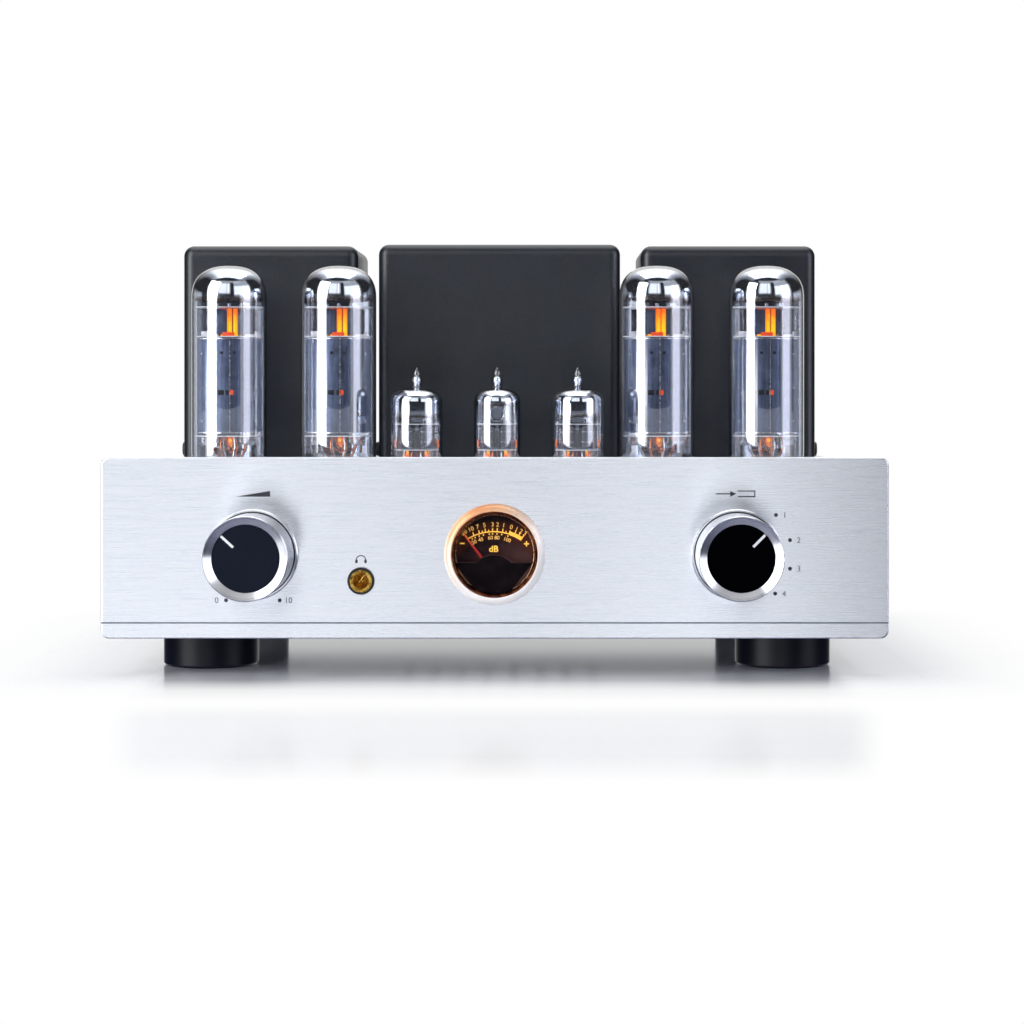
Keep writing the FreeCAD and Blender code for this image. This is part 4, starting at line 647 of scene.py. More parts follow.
def mirror_paint(name, edge, ragged):
    """Silvery getter film on the inside of the dome. It ends in a cloudy edge."""
    paint = Paint(name, (232, 234, 238), 1.0, 0.05)
    cloud = paint.noise(5.0, 4.0, (1.0, 1.0, 0.6), 0.62)
    level = paint.add(paint.axes()[2], paint.times(paint.less(cloud, 0.5), ragged))
    share = paint.between(level, edge - 0.5, edge + 0.5, 1.0, 0.0, "SMOOTHSTEP")
    brown = paint.between(level, edge + 0.3, edge + 2.4)
    paint.tinted(brown, (0.0, (120, 104, 98)), (0.5, (206, 204, 206)), (1.0, (234, 236, 240)))
    paint.into("Roughness", paint.between(level, edge, edge + 3.0, 0.2, 0.04))
    return paint.clear(share).made


def anode_paint(name, colour, light):
    """Dull carbonised nickel, drawn along its height."""
    paint = Paint(name, colour, 0.75, 0.36, Anisotropic=0.4)
    drawn = paint.noise(0.7, 3.0, (1.0, 1.0, 0.04))
    spots = paint.noise(4.0, 3.0)
    mixed = paint.mixed((drawn, 0.5), (spots, 0.5))
    paint.tinted(mixed, (0.35, colour), (0.65, light))
    paint.roughened(spots, 0.28, 0.46)
    return paint.bump(drawn, 0.02).made


def mica_paint():
    """Pale mica sheet, slightly cloudy."""
    paint = Paint("mica", (226, 226, 232), 0.0, 0.25, Coat_Weight=0.4)
    cloud = paint.noise(2.0, 4.0)
    paint.tinted(cloud, (0.35, (204, 202, 206)), (0.6, (240, 240, 244)))
    return paint.roughened(cloud, 0.2, 0.5).made


needle_red = needle_paint()
DRESSED = (
    (brushed("face_aluminium", (233, 237, 245), (225, 230, 239)), "faceplate"),
    (lathed("knob_aluminium", (236, 238, 244), (220, 224, 232), 0.26, pull=0.85),
     "volume_knob", "selector_knob", "knob_rings"),
    # Painted light and shade on one black anodised finish: the volume insert at the left is lighter and
    # bluer, the selector's at the right near black
    (lathed("volume_black_lit", (24, 29, 42), (17, 21, 32), 0.42, 0.0, 0.3, Specular_IOR_Level=0.05),
     "volume_insert"),
    (lathed("selector_black_shaded", (4, 4, 7), (2, 2, 3), 0.42, 0.0, 0.3, Specular_IOR_Level=0.0),
     "selector_insert"),
    (clear_glass("window_glass", (250, 248, 246), least=0.9), "meter_glass"),
    (dial_paint(), "meter_dial"),
    (needle_red, "meter_needle"),
    (powder("chassis_paint", (196, 200, 206), (214, 218, 224), 0.5, 0.03, 0.4),
     "chassis_deck", "chassis_walls", "rear_panel", "bottom_cover", "cover_brackets"),
    (plated("plated_steel", (196, 198, 200), (170, 172, 176), 0.3), "chassis_fasteners"),
    (powder("foot_black", (6, 9, 19), (11, 16, 31), 0.3, 0.01, 0.36, Specular_IOR_Level=0.2), "feet"),
    (powder("cover_paint", (16, 21, 28), (28, 35, 45), 0.42, 0.05, 0.34, Specular_IOR_Level=0.55),
     "power_cover", "output_covers"),
    (powder("black_steel", (18, 18, 20), (34, 34, 38), 0.4, 0.02, 0.35), "cover_screws"),
    (banded("core_steel", (40, 38, 36), (84, 80, 76), 0.5, 1, 0.45, 0.8, 0.04), "transformer_cores"),
    (banded("coil_copper", (120, 58, 26), (196, 118, 62), 0.9, 2, 0.35, 0.6, 0.2), "transformer_coils"),
    (moulded("socket_ceramic", (236, 233, 222), (222, 217, 204), 0.5, 0.8, 0.02),
     "socket_rings", "socket_cores"),
    (powder("board_green", (22, 84, 50), (34, 104, 64), 0.8, 0.01, 0.4), "tube_board"),
    (moulded("capacitor_sleeve", (16, 26, 66), (24, 36, 84), 0.28), "board_capacitors"),
    (plated("control_metal", (186, 186, 184), (160, 160, 160), 0.32),
     "panel_controls", "volume_shaft", "selector_shaft"),
    (moulded("black_plastic", (14, 14, 15), (24, 24, 26)),
     "meter_housing", "jack_washer", "mains_inlet", "fuse_drawer", "power_switch",
     "right_minus_cap", "left_minus_cap"),
    (moulded("switch_black", (18, 18, 19), (30, 30, 32), 0.3), "power_rocker"),
    (moulded("red_plastic", (150, 14, 12), (176, 26, 20), 0.3), "right_plus_cap", "left_plus_cap"),
    (plated("gold_plate", (232, 190, 96), (206, 156, 62), 0.2),
     "headphone_jack", "input_sockets", "terminal_posts"),
    (moulded("base_black", (13, 12, 11), (26, 24, 22), 0.3, 0.6, 0.02, Coat_Weight=0.2),
     "power_tube_1_base", "power_tube_2_base", "power_tube_3_base", "power_tube_4_base"),
)
for paint, *names in DRESSED:
    for name in names:
        for held in nodes[name].material_slots:
            held.material = paint

# Pointers on the knobs. Each turns with its knob.
POINTER_W = 1.0
POINTER_DEPTH = 0.05
for side, at, turn in (("volume", VOLUME_X, -47.5), ("selector", SELECTOR_X, 45.0)):
    pointer = Piece(side + "_pointer", side, "black_anodised")
    line = bar(at, CONTROL_Z, turn, 0.49 * INSERT_R, 0.98 * INSERT_R, POINTER_W)
    pointer.add(prism(line, INSERT_LOW.y, POINTER_DEPTH), white_ink)
    pointer.done()

# Painted shade: a dark film where each knob stands off the ring behind it
GAP_IN = 16.2
GAP_OUT = 17.45
GAP_FILM = 0.03
RING_FRONT = mm_box("knob_rings")[0].y
painted_gap_shade = moulded("painted_gap_shade", (14, 15, 20), (20, 21, 27), 0.6, Specular_IOR_Level=0.05)
gaps = Piece("knob_gap_shades", "root", "black_anodised")
for at in (VOLUME_X, SELECTOR_X):
    gaps.add(turned([(GAP_IN, 0.0), (GAP_IN, GAP_FILM), (GAP_OUT, GAP_FILM), (GAP_OUT, 0.0)],
                    (at, RING_FRONT, CONTROL_Z), "y", 128), painted_gap_shade)
gaps.done()

# Marks printed on the faceplate, and a painted shade in its groove
INK_DEPTH = 0.03
DOT_R = 0.8
FIGURE_H = 2.3
marks_and_shade = Piece("faceplate_marks_and_shade", "root", "face_aluminium")


def print_dot(x, z, sign, aside):
    """A dot with a figure beside it."""
    marks_and_shade.add(prism(disc(x, z, DOT_R), FRONT, INK_DEPTH), ink)
    marks_and_shade.add(letters(sign, FIGURE_H, x + aside, z, FRONT, INK_DEPTH), ink)


END_DOT_X = 10.9
END_DOT_Z = 30.8
for s, sign in ((-1, "0"), (1, "10")):
    print_dot(VOLUME_X + s * END_DOT_X, END_DOT_Z, sign, s * 3.8)
SELECTOR_DOTS = ((114.15, 65.4), (119.85, 55.2), (119.85, 43.6), (113.85, 33.5))
for count, (x, z) in enumerate(SELECTOR_DOTS, 1):
    print_dot(x, z, str(count), 3.6)

# Painted shade: a grey film at the bottom of the groove along the faceplate
GROOVE_UP = 6.1
GROOVE_W = 0.6
GROOVE_DEEP = 0.6
shade_grey = moulded("groove_shade", (122, 130, 143), (136, 144, 157), 0.6, Specular_IOR_Level=0.1)
groove_z = FACE_LOW.z + GROOVE_UP
marks_and_shade.add(prism(rectangle(FACE_LOW.x, groove_z, FACE_HIGH.x, groove_z + GROOVE_W),
                 FRONT + GROOVE_DEEP, INK_DEPTH), shade_grey)

# Signs. Loudness is a wedge that grows to the right, the source an arrow that points into a frame,
# and the headphones a headband over two ear pads.
SIGN_Z = 74.0
HEADBAND_Z = 47.0
WEDGE = ([(-7.0, -1.15), (7.0, -1.15), (7.0, 1.15)],)
ARROW = (rectangle(-8.0, -0.25, -1.6, 0.25), [(-2.2, -1.2), (0.2, 0.0), (-2.2, 1.2)],
         rectangle(0.9, -1.35, 8.0, -0.9), rectangle(0.9, 0.9, 8.0, 1.35), rectangle(7.55, -0.9, 8.0, 0.9))
PADS = (rectangle(-2.35, -1.1, -1.35, 0.2), rectangle(1.35, -1.1, 2.35, 0.2))
for x, z, sign in ((VOLUME_X, SIGN_Z, WEDGE), (SELECTOR_X - 0.4, SIGN_Z, ARROW), (JACK_X, HEADBAND_Z, PADS)):
    for outline in sign:
        marks_and_shade.add(prism([(x + a, z + b) for a, b in outline], FRONT, INK_DEPTH), ink)
marks_and_shade.add(arc_band(JACK_X, HEADBAND_Z, 1.75, 2.15, -90, 90, FRONT, INK_DEPTH), ink)
marks_and_shade.done()

# The meter's bezel: a broad rounded band of plated metal, and a dark ring behind the window
BEZEL_R = (BEZEL_HIGH.x - BEZEL_LOW.x) / 2
BEZEL_PROUD = FRONT - BEZEL_LOW.y
MOUTH_R = 17.5
SEAT_R = 16.6
WINDOW_R = 15.5
SEAT_H = 1.0
DIAL_DEEP = 4.0
METER = (0, FRONT, CONTROL_Z)
rose_gold = bezel_paint()
inner_copper = plated("inner_copper", (150, 84, 52), (104, 44, 28), 0.22, 3.0)
line_gold = plated("line_gold", (226, 190, 150), (200, 160, 120), 0.2)
bezel = Piece("bezel_body", "root", "copper_bezel")
# The band's face from the mouth outwards, as (radius, how far behind its most proud line)
BAND_FACE = ((MOUTH_R, 0.25), (MOUTH_R + 0.12, 0.04), (MOUTH_R + 0.3, 0.0), (18.2, 0.14), (18.75, 0.36),
             (19.25, 0.68), (19.7, 1.08), (20.05, 1.52), (20.3, 2.0), (BEZEL_R - 0.05, 2.5))
band = [(MOUTH_R, SEAT_H)] + [(r, BEZEL_PROUD - behind) for r, behind in BAND_FACE]
band += [(BEZEL_R, 0.0), (MOUTH_R + 1.0, 0.0), (MOUTH_R + 1.0, -DIAL_DEEP), (MOUTH_R, -DIAL_DEEP)]
bezel.add(turned(band, METER, "y", 160), rose_gold)
seat = ((MOUTH_R + 0.1, SEAT_H), (SEAT_R, SEAT_H), (WINDOW_R, -DIAL_DEEP), (MOUTH_R + 0.1, -DIAL_DEEP))
bezel.add(turned(seat, METER, "y", 160), inner_copper)
for r, proud in ((SEAT_R + 0.08, SEAT_H - 0.1), (WINDOW_R + 0.42, -1.9)):
    bezel.add(ring((0, FRONT - proud, CONTROL_Z), r, 0.09, "y", steps=120), line_gold)
bezel.done("meter_bezel", angle=40)

# Marks on the dial plate. Angles run clockwise from the top, about the arc's own centre.
DIAL_Y = FRONT + DIAL_DEEP
DIAL_DEPTH = 0.05
# The dial's print stands a little left of the middle
DIAL_X = -0.5
ARC_R = 20.6
ARC_START = -32.0
WIDE_START = 18.2
ARC_END = 33.2
FIGURES_R = 23.6
FIGURES_H = 1.75
LOWER_R = 18.2
LOWER_H = 1.5
DOT_TRACK_R = 19.7
SCALE = ((-30.8, "20"), (-22.8, "10"), (-16.2, "7"), (-9.3, "5"), (-1.2, "3"), (3.8, "2"), (9.9, "1"),
         (17.7, "0"), (23.4, "1"), (28.2, "2"), (32.7, "3"))
BETWEEN = (-12.7, -5.6, 13.7)
LOWER_SCALE = ((-26.0, "20"), (-17.0, "40"), (-4.2, "60"), (4.2, "80"), (18.1, "100"))
LOWER_DOTS = (-26.4, -22.6, -17.5, -12.3, -5.2, -1.3, 3.9, 9.5, 17.1)
MINUS = rectangle(-14.3, 53.35, -12.4, 53.85)
PLUS = (rectangle(11.8, 53.2, 13.9, 53.7), rectangle(12.6, 52.4, 13.1, 54.5))
UNIT_Z = 51.4
amber = moulded("dial_amber", (255, 206, 88), (250, 190, 72), 0.5, Emission_Strength=0.5,
                Emission_Color=linear((255, 190, 70)))
amber_dim = moulded("dial_amber_dim", (255, 204, 110), (248, 190, 92), 0.5, Emission_Strength=0.5,
                    Emission_Color=linear((252, 190, 92)))
dial = Piece("dial_scale", "root", "dial_black")


def on_dial(angle, r):
    turn = math.radians(angle)
    return DIAL_X + r * math.sin(turn), ARC_Z + r * math.cos(turn)


def dial_line(angle, reach, width):
    dial.add(prism(bar(DIAL_X, ARC_Z, angle, ARC_R, ARC_R + reach, width), DIAL_Y, DIAL_DEPTH), amber)


def dial_figures(scale, height, r):
    for angle, sign in scale:
        dial.add(letters(sign, height, *on_dial(angle, r), DIAL_Y, DIAL_DEPTH, angle), amber_dim)


for start, end, below, above, steps in ((ARC_START, WIDE_START, 0.22, 0.22, 40),
                                        (WIDE_START, ARC_END, 0.35, 1.15, 16)):
    arc = arc_band(DIAL_X, ARC_Z, ARC_R - below, ARC_R + above, start, end, DIAL_Y, DIAL_DEPTH, steps)
    dial.add(arc, amber)
for angle, sign in SCALE:
    dial_line(angle, 2.3 if angle > WIDE_START else 1.5, 0.4)
for angle in BETWEEN:
    dial_line(angle, 0.95, 0.32)
dial_figures(SCALE, FIGURES_H, FIGURES_R)
dial_figures(LOWER_SCALE, LOWER_H, LOWER_R)
for outline in (*[disc(*on_dial(angle, DOT_TRACK_R), 0.3, 12) for angle in LOWER_DOTS], MINUS, *PLUS):
    dial.add(prism(outline, DIAL_Y, DIAL_DEPTH), amber)
dial.add(letters("dB", 2.5, DIAL_X, UNIT_Z, DIAL_Y, DIAL_DEPTH, thin=-0.02), amber)
dial.done()

# The lower mask's face, darker than the dial, with a thin pale edge
MASK_FRONT = FRONT + 1.6
MASK_BODY = 0.6
MASK_TOP = CONTROL_Z - 3.3
MASK_R = 16.4
HUMP_R = 9.9
HUMP_Z = MASK_TOP + 3.1 - HUMP_R
EDGE_W = 0.22
FILM = 0.02
mask_black = moulded("mask_black", (13, 9, 12), (21, 16, 20), 0.6, 0.5, 0.01, Specular_IOR_Level=0.02)
mask_edge = moulded("mask_edge", (74, 48, 50), (60, 40, 42), 0.4, Specular_IOR_Level=0.1)


def mask_outline(inset, steps=24):
    """The mask's upper boundary from left to right: straight, with a round hump in the middle."""
    edge = MASK_TOP - inset
    half = math.sqrt((MASK_R - inset) ** 2 - (edge - CONTROL_Z) ** 2)
    reach = math.sqrt(max((HUMP_R - inset) ** 2 - (edge - HUMP_Z) ** 2, 0.0))
    start = math.atan2(reach, edge - HUMP_Z)
    out = [(-half, edge)]
    for i in range(steps + 1):
        turn = start * (2 * i / steps - 1)
        out.append(((HUMP_R - inset) * math.sin(turn), HUMP_Z + (HUMP_R - inset) * math.cos(turn)))
    return out + [(half, edge)]


upper = mask_outline(0.0)
bottom = []
for x, z in upper:
    turn = math.asin(max(-1.0, min(1.0, x / MASK_R)))
    bottom.append((x, CONTROL_Z - MASK_R * math.cos(turn) if abs(x) < MASK_R else z))
mask = Piece("dial_mask_face", "root", "dial_black", (DIAL_X, 0.0))
mask.add(strip(upper, bottom, MASK_FRONT + MASK_BODY, MASK_BODY + FILM), mask_black)
mask.add(strip(upper, mask_outline(EDGE_W), MASK_FRONT - FILM, FILM), mask_edge)
mask.done()

# The needle's blade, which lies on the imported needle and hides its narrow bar
NEEDLE_REST = -37.0
blade = Piece("needle_blade", "needle", "needle_red")
blade.add(prism(bar(0.0, PIVOT_Z, NEEDLE_REST, 2.0, 20.6, 1.5, 0.6), FRONT + 3.1, 0.12), needle_red)
blade.done()

# Contact springs seen in the headphone socket
SPRINGS = (
    (0.28, ((-1.5, 0.0, -1.6), (-0.5, -0.5, 0.0), (0.5, -0.6, 1.6), (0.9, 0.3, 2.9))),
    (0.22, ((0.4, 0.0, -0.6), (0.1, 0.3, 0.6), (1.4, 0.6, 2.2))),
)
spring = Piece("jack_contact", "root", "gold_plate", (JACK_X, JACK_LOW.y + 5.0))
for r, line in SPRINGS:
    spring.add(wire([(x, y, JACK_Z + z) for x, y, z in line], r), silver)
spring.done()

# Tubes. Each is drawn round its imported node, in places that count from its own axis, and moves with
# its own body. Most of a cage is the same when it is turned half round, so it is given once.
GLASS_WALL = 1.0
SMALL_WALL = 0.8
DOME_POWER = 2.5
MIRROR_GAP = 0.06
MIRROR_T = 0.06
anode_grey = anode_paint("anode_grey", (68, 75, 94), (96, 105, 126))
anode_dark = anode_paint("anode_dark", (50, 50, 62), (76, 76, 90))
nickel = plated("nickel_wire", (206, 204, 204), (176, 172, 172), 0.22, 1.0)
copper_wire = plated("copper_wire", (214, 128, 84), (176, 92, 54), 0.25, 1.0)
slot_dark = moulded("slot_dark", (7, 7, 9), (12, 11, 13), 0.7)
stem_glass = moulded("stem_glass", (206, 208, 214), (226, 228, 234), 0.12, 1.5, 0.01, Coat_Weight=0.6)
mica = mica_paint()


def tube_box(body):
    """The corners, axis and radius of a tube's glass."""
    low, high = mm_box(body + "_glass")
    return low, high, ((low.x + high.x) / 2, (low.y + high.y) / 2), (high.x - low.x) / 2


def dome(radius, rise, top, steps=22):
    """The outer line of a round shoulder, from its full radius up to the axis."""
    out = []
    for k in range(steps + 1):
        t = math.pi / 2 * k / steps
        r = radius * math.cos(t) ** (2 / DOME_POWER)
        h = rise * math.sin(t) ** (2 / DOME_POWER)
        out.append((r if k < steps else 0.0, top - rise + h))
    return out


def shrunk(profile, by):
    """A profile moved inwards by a wall's thickness, its ends kept on the axis."""
    out = []
    count = len(profile)
    for i, (r, h) in enumerate(profile):
        before = Vector(profile[max(i - 1, 0)])
        after = Vector(profile[min(i + 1, count - 1)])
        along = (after - before).normalized()
        inner = Vector((r, h)) + Vector((-along.y, along.x)) * by
        out.append((0.0 if r < 1e-6 else max(inner.x, 0.01), inner.y if r > 1e-6 else h - by))
    return out


def add_bulb(body, axis, outer, inner, steps):
    """A tube's glass, between its outer and its inner line."""
    glass = Piece(body + "_bulb", body, "tube_glass", axis)
    glass.add(turned(outer, steps=steps, closed=False), tube_glass)
    glass.add(turned(inner, steps=steps, closed=False), tube_glass, hollow=True)
    glass.done(body + "_glass", angle=60)


def film_profile(line, radius, wall, low, tip_r=0.0):
    """The film's profile under a dome's line, from its low end in to the radius of the tip."""
    kept = [(r, h) for r, h in shrunk(line, wall + MIRROR_GAP) if r >= tip_r and h > low + 0.1]
    film = [(radius - wall - MIRROR_GAP, low)] + kept
    return film + shrunk(film, MIRROR_T)[::-1]


def flat_round(r, cut, low, thick, steps=48):
    """A round plate with flat front and back, as micas are cut."""
    return upright([(x, max(-cut, min(cut, y))) for x, y in disc(0, 0, r, steps)], low, low + thick)


def add_pins(piece, low, length, r, circle_r, taken, places):
    """Round-ended pins in the places taken on a circle. Place 0 is behind the axis."""
    outline = softened([(0, low, 0), (r, low, r * 0.7), (r, low + length, 0), (0, low + length, 0)], 3)
    for k in taken:
        turn = 2 * math.pi * k / places
        place = (circle_r * math.sin(turn), circle_r * math.cos(turn), 0)
        piece.add(turned(outline, place, steps=16), nickel)


# Power tubes
POWER_DOME = 14.5
POWER_NECK_R = 15.1
POWER_NECK_H = 15.0
POWER_MIRROR_EDGE = 154.6
# The film's mesh reaches a little below the line where it has faded out
POWER_FILM_LOW = POWER_MIRROR_EDGE - 2.4
TOP_MICA_Z = 151.3
LOWER_MICA_Z = 96.7
ANODE_TOP = 138.4
ANODE_LOW = 97.3
MICA_R = 14.6
MICA_CUT = 10.5
MICA_THICK = 0.45
PANEL_HALF = 7.6
PANEL_Y = 6.4
WING_HALF = 13.5
WING_T = 1.3
ROOT_HALF = PANEL_HALF + 2.6
EDGE_H = 0.5
SLOT_Z = 114.9
HOLE_Z = 132.0
SLEEVE_LOW = ANODE_TOP + 0.9
STEM_UP = 3.0
OCTAL_PLACES = 8
OCTAL_PIN_L = 11.0
OCTAL_PIN_R = 1.2
OCTAL_CIRCLE_R = 8.725
flame = glow("heater_glow", (255, 110, 30), (255, 178, 18), 1.1, ANODE_TOP, TOP_MICA_Z)
ember = glow("ember_glow", (214, 70, 26), (250, 126, 48), 0.8, LOWER_MICA_Z - 8.0, LOWER_MICA_Z + 2.0)
power_mirror = mirror_paint("power_mirror", POWER_MIRROR_EDGE, 3.2)


def anode_outline():
    """Cross-section of the folded anode: a flat box with a wing on each side."""
    half = [(-WING_HALF, -WING_T / 2), (-ROOT_HALF, -WING_T / 2)]
    for degrees in range(-80, 81, 10):
        t = math.radians(degrees)
        half.append((PANEL_HALF * math.sin(t), -PANEL_Y * math.cos(t) ** 0.62))
    half += [(ROOT_HALF, -WING_T / 2), (WING_HALF, -WING_T / 2)]
    return half + [(-x, -y) for x, y in half]


def power_glass(body, low, high, axis, radius):
    outer = [(0.0, low.z), (POWER_NECK_R - 1.5, low.z), (POWER_NECK_R, low.z + 1.5)]
    for k in range(1, 7):
        t = k / 6
        ease = t * t * (3 - 2 * t)
        outer.append((POWER_NECK_R + (radius - POWER_NECK_R) * ease, low.z + 1.5 + (POWER_NECK_H - 1.5) * t))
    neck_top = outer[-1][1]
    straight = high.z - POWER_DOME - neck_top
    outer += [(radius, neck_top + straight * t) for t in (0.35, 0.7)]
    outer += dome(radius, POWER_DOME, high.z)
    add_bulb(body, axis, outer, shrunk(outer, GLASS_WALL), 128)


def power_tube(i):
    body = f"power_tube_{i}"
    low, high, axis, radius = tube_box(body)
    power_glass(body, low, high, axis, radius)

    mirror = Piece(body + "_mirror", body, "electrode_metal", axis)
    line = dome(radius, POWER_DOME, high.z, 30)
    mirror.add(turned(film_profile(line, radius, GLASS_WALL, POWER_FILM_LOW), steps=128), power_mirror)
    mirror.done(angle=60)

    cage = Piece(body + "_cage", body, "electrode_metal", axis)
    cage.add(upright(anode_outline(), ANODE_LOW, ANODE_TOP), anode_grey)
    # Pressed ribs, the folded seam, the small windows, and the welds on the wings. Each window is a patch on
    # the anode: the dark ones are painted shade of the inside, and the glowing one is a painted glow of the
    # heater behind it.
    for x in (-5.0, 5.0):
        cage.add(rod(x, -5.15, ANODE_LOW + 2.0, ANODE_TOP - 3.0, 0.5), anode_grey, twice=True)
    seam = rectangle(0.9, -PANEL_Y - 0.35, 1.3, -PANEL_Y + 0.1)
    cage.add(upright(seam, ANODE_LOW, ANODE_TOP), nickel, twice=True)
    skin = (-PANEL_Y - 0.12, -PANEL_Y + 0.3)
    for left, right, paint in ((-4.2, -1.5, slot_dark), (-0.7, 0.75, slot_dark), (0.75, 2.6, ember)):
        cage.add(block((left, right), skin, about(SLOT_Z, 1.05), 0.1), paint, twice=True)
    for x in (-2.6, 2.9):
        cage.add(block(about(x, 0.6), skin, about(HOLE_Z, 0.6), 0.1), slot_dark, twice=True)
    weld = softened([(0, 0, 0), (0.55, 0, 0.1), (0.45, 0.3, 0.1), (0, 0.3, 0)])
    for x in (-11.6, 11.6):
        for z in (102.5, 117.0, 131.5):
            cage.add(turned(weld, (x, -WING_T / 2 + 0.05, z), "y", 14), nickel, twice=True)
    # Top and bottom edges of the anode
    for z in (ANODE_LOW, ANODE_TOP - EDGE_H):
        cage.add(upright(grown(anode_outline(), (0, 0), 1.012, 1.03), z, z + EDGE_H), nickel)
    for cut, z in ((MICA_CUT, TOP_MICA_Z), (MICA_CUT, LOWER_MICA_Z - MICA_THICK - 0.3),
                   (MICA_CUT * 0.6, ANODE_TOP + 0.35)):
        cage.add(flat_round(MICA_R, cut, z, MICA_THICK), mica)
    # Grid posts, their cooling plates, and the hot cathode between them
    for x in (7.2, 4.9):
        cage.add(rod(x, 0, LOWER_MICA_Z - 3.5, TOP_MICA_Z + 1.6, 0.45), nickel, twice=True)
    for left, right, y, paint in ((-5.8, -0.6, -2.6, anode_grey), (4.3, 6.5, -2.6, anode_grey),
                                  (6.9, 11.0, -1.8, anode_dark), (-11.2, -8.2, -0.6, anode_dark)):
        plate = block((left, right), about(y, 0.2), (ANODE_TOP + 1.6, TOP_MICA_Z - 0.5), 0.1)
        cage.add(plate, paint, twice=True)
    for x in (-9.6, 9.6):
        cage.add(block(about(x, 2.4), (-1.6, 1.4), (ANODE_TOP + 0.85, ANODE_TOP + 2.9), 0.3), mica)
    for x, y, r, paint in ((0.7, -1.6, 0.85, flame), (2.9, -1.6, 1.0, flame), (1.7, -2.6, 0.16, slot_dark)):
        cage.add(rod(x, y, SLEEVE_LOW, TOP_MICA_Z - 0.3, r), paint, twice=True)
    cage.add(block(about(0, 2.6), (-3.3, -2.7), (SLEEVE_LOW, SLEEVE_LOW + 1.6), 0.2), ember, twice=True)
    cage.add(rod(0, 0, TOP_MICA_Z, TOP_MICA_Z + 2.0, 0.8), nickel)
    # Getter ring on two wires above the top mica
    cage.add(ring((0, 0, TOP_MICA_Z + 4.0), 5.0, 0.5), nickel)
    cage.add(wire([(7.2, 0, TOP_MICA_Z + 0.2), (7.0, 0, TOP_MICA_Z + 2.6), (5.2, 0, TOP_MICA_Z + 4.0)], 0.35),
             nickel, twice=True)
    # Below the lower mica: heater ends, leads and the glass stem
    hot_end = softened([(0, LOWER_MICA_Z - 1.0, 0), (1.2, LOWER_MICA_Z - 1.0, 0.3),
                        (1.5, LOWER_MICA_Z - 3.0, 0.8), (0.6, LOWER_MICA_Z - 5.2, 0.3),
                        (0, LOWER_MICA_Z - 5.4, 0)])
    cage.add(turned(hot_end, (0.9, -1.2, 0), steps=24), ember)
    cage.add(turned([(0, LOWER_MICA_Z - 1.6), (0.7, LOWER_MICA_Z - 1.8), (0.8, LOWER_MICA_Z - 2.8),
                     (0, LOWER_MICA_Z - 3.4)], (0.8, -2.4, 0), steps=20), flame)
    for x, y, lean in ((-1.6, -0.6, 2.2), (2.6, -1.6, -1.4), (1.2, -2.6, 0.8)):
        cage.add(wire([(x, y, LOWER_MICA_Z - 1.0), (x + lean * 0.4, y, LOWER_MICA_Z - 4.0),
                       (x + lean, y - 0.4, LOWER_MICA_Z - 8.0)], 0.25), copper_wire)
    stem_z = low.z + STEM_UP
    for k in range(8):
        t = math.radians(22.5 + 45 * k)
        x = math.cos(t)
        y = math.sin(t)
        cage.add(wire([(x * 4.6, y * 4.6, stem_z + 5.0), (x * 5.2, y * 4.9, stem_z + 8.5),
                       (x * 7.8, y * 5.0, LOWER_MICA_Z - 5.5), (x * 7.0, y * 4.4, LOWER_MICA_Z - 0.8)], 0.42),
                 copper_wire if k % 2 else nickel)
    cage.add(ring((0, 0, LOWER_MICA_Z - 6.6), 6.6, 0.22), copper_wire)
    for x in (-9.2, 9.2):
        cage.add(block(about(x, 2.3), (-2.6, -2.2), (LOWER_MICA_Z - 4.6, LOWER_MICA_Z - 0.8), 0.15), nickel)
    stem = softened([(0, stem_z, 0), (9.0, stem_z, 0.3), (6.6, stem_z + 2.6, 1.2), (5.6, stem_z + 7.0, 0.8),
                     (0, stem_z + 7.0, 0)])
    cage.add(turned(stem, steps=48), stem_glass)
    pin_low = mm_box(body + "_electrodes")[0].z
    add_pins(cage, pin_low, OCTAL_PIN_L, OCTAL_PIN_R, OCTAL_CIRCLE_R, range(OCTAL_PLACES), OCTAL_PLACES)
    cage.done(body + "_electrodes")


for i in (1, 2, 3, 4):
    power_tube(i)

# Small tubes
SMALL_DOME = 6.6
SMALL_TIP_H = 8.5
SMALL_FLOOR = 2.5
SMALL_TOP_Z = 101.3
SMALL_LOW_Z = 90.6
SMALL_TYPICAL_R = 11.0
NOVAL_PLACES = 10
NOVAL_PIN_L = 6.5
NOVAL_PIN_R = 0.51
NOVAL_CIRCLE_R = 5.95
OUTER_EDGE = 104.6
MIDDLE_EDGE = 109.6
outer_mirror = mirror_paint("small_mirror", OUTER_EDGE, 2.2)
middle_mirror = mirror_paint("middle_mirror", MIDDLE_EDGE, 3.4)
# The exhaust tip's outer line, its inner line and its film, as (radius, height over the dome)
TIP = ((2.3, 0.25), (1.7, 0.8), (1.75, 1.5), (2.1, 2.4), (2.1, 4.1), (1.9, 4.7), (1.3, 5.2), (1.2, 5.5),
       (1.35, 6.0), (1.0, 7.0), (0.55, 8.0), (0.25, 8.42), (0.0, 8.5))
TIP_INSIDE = ((1.35, -0.6), (1.2, 0.5), (1.2, 1.5), (1.6, 2.4), (1.6, 4.0), (1.2, 4.6), (0.6, 4.9),
              (0.0, 5.0))
TIP_FILM = ((1.12, 0.5), (1.12, 1.5), (1.52, 2.4), (1.52, 4.0), (1.1, 4.5))


def raised(profile, up):
    return [(r, h + up) for r, h in profile]


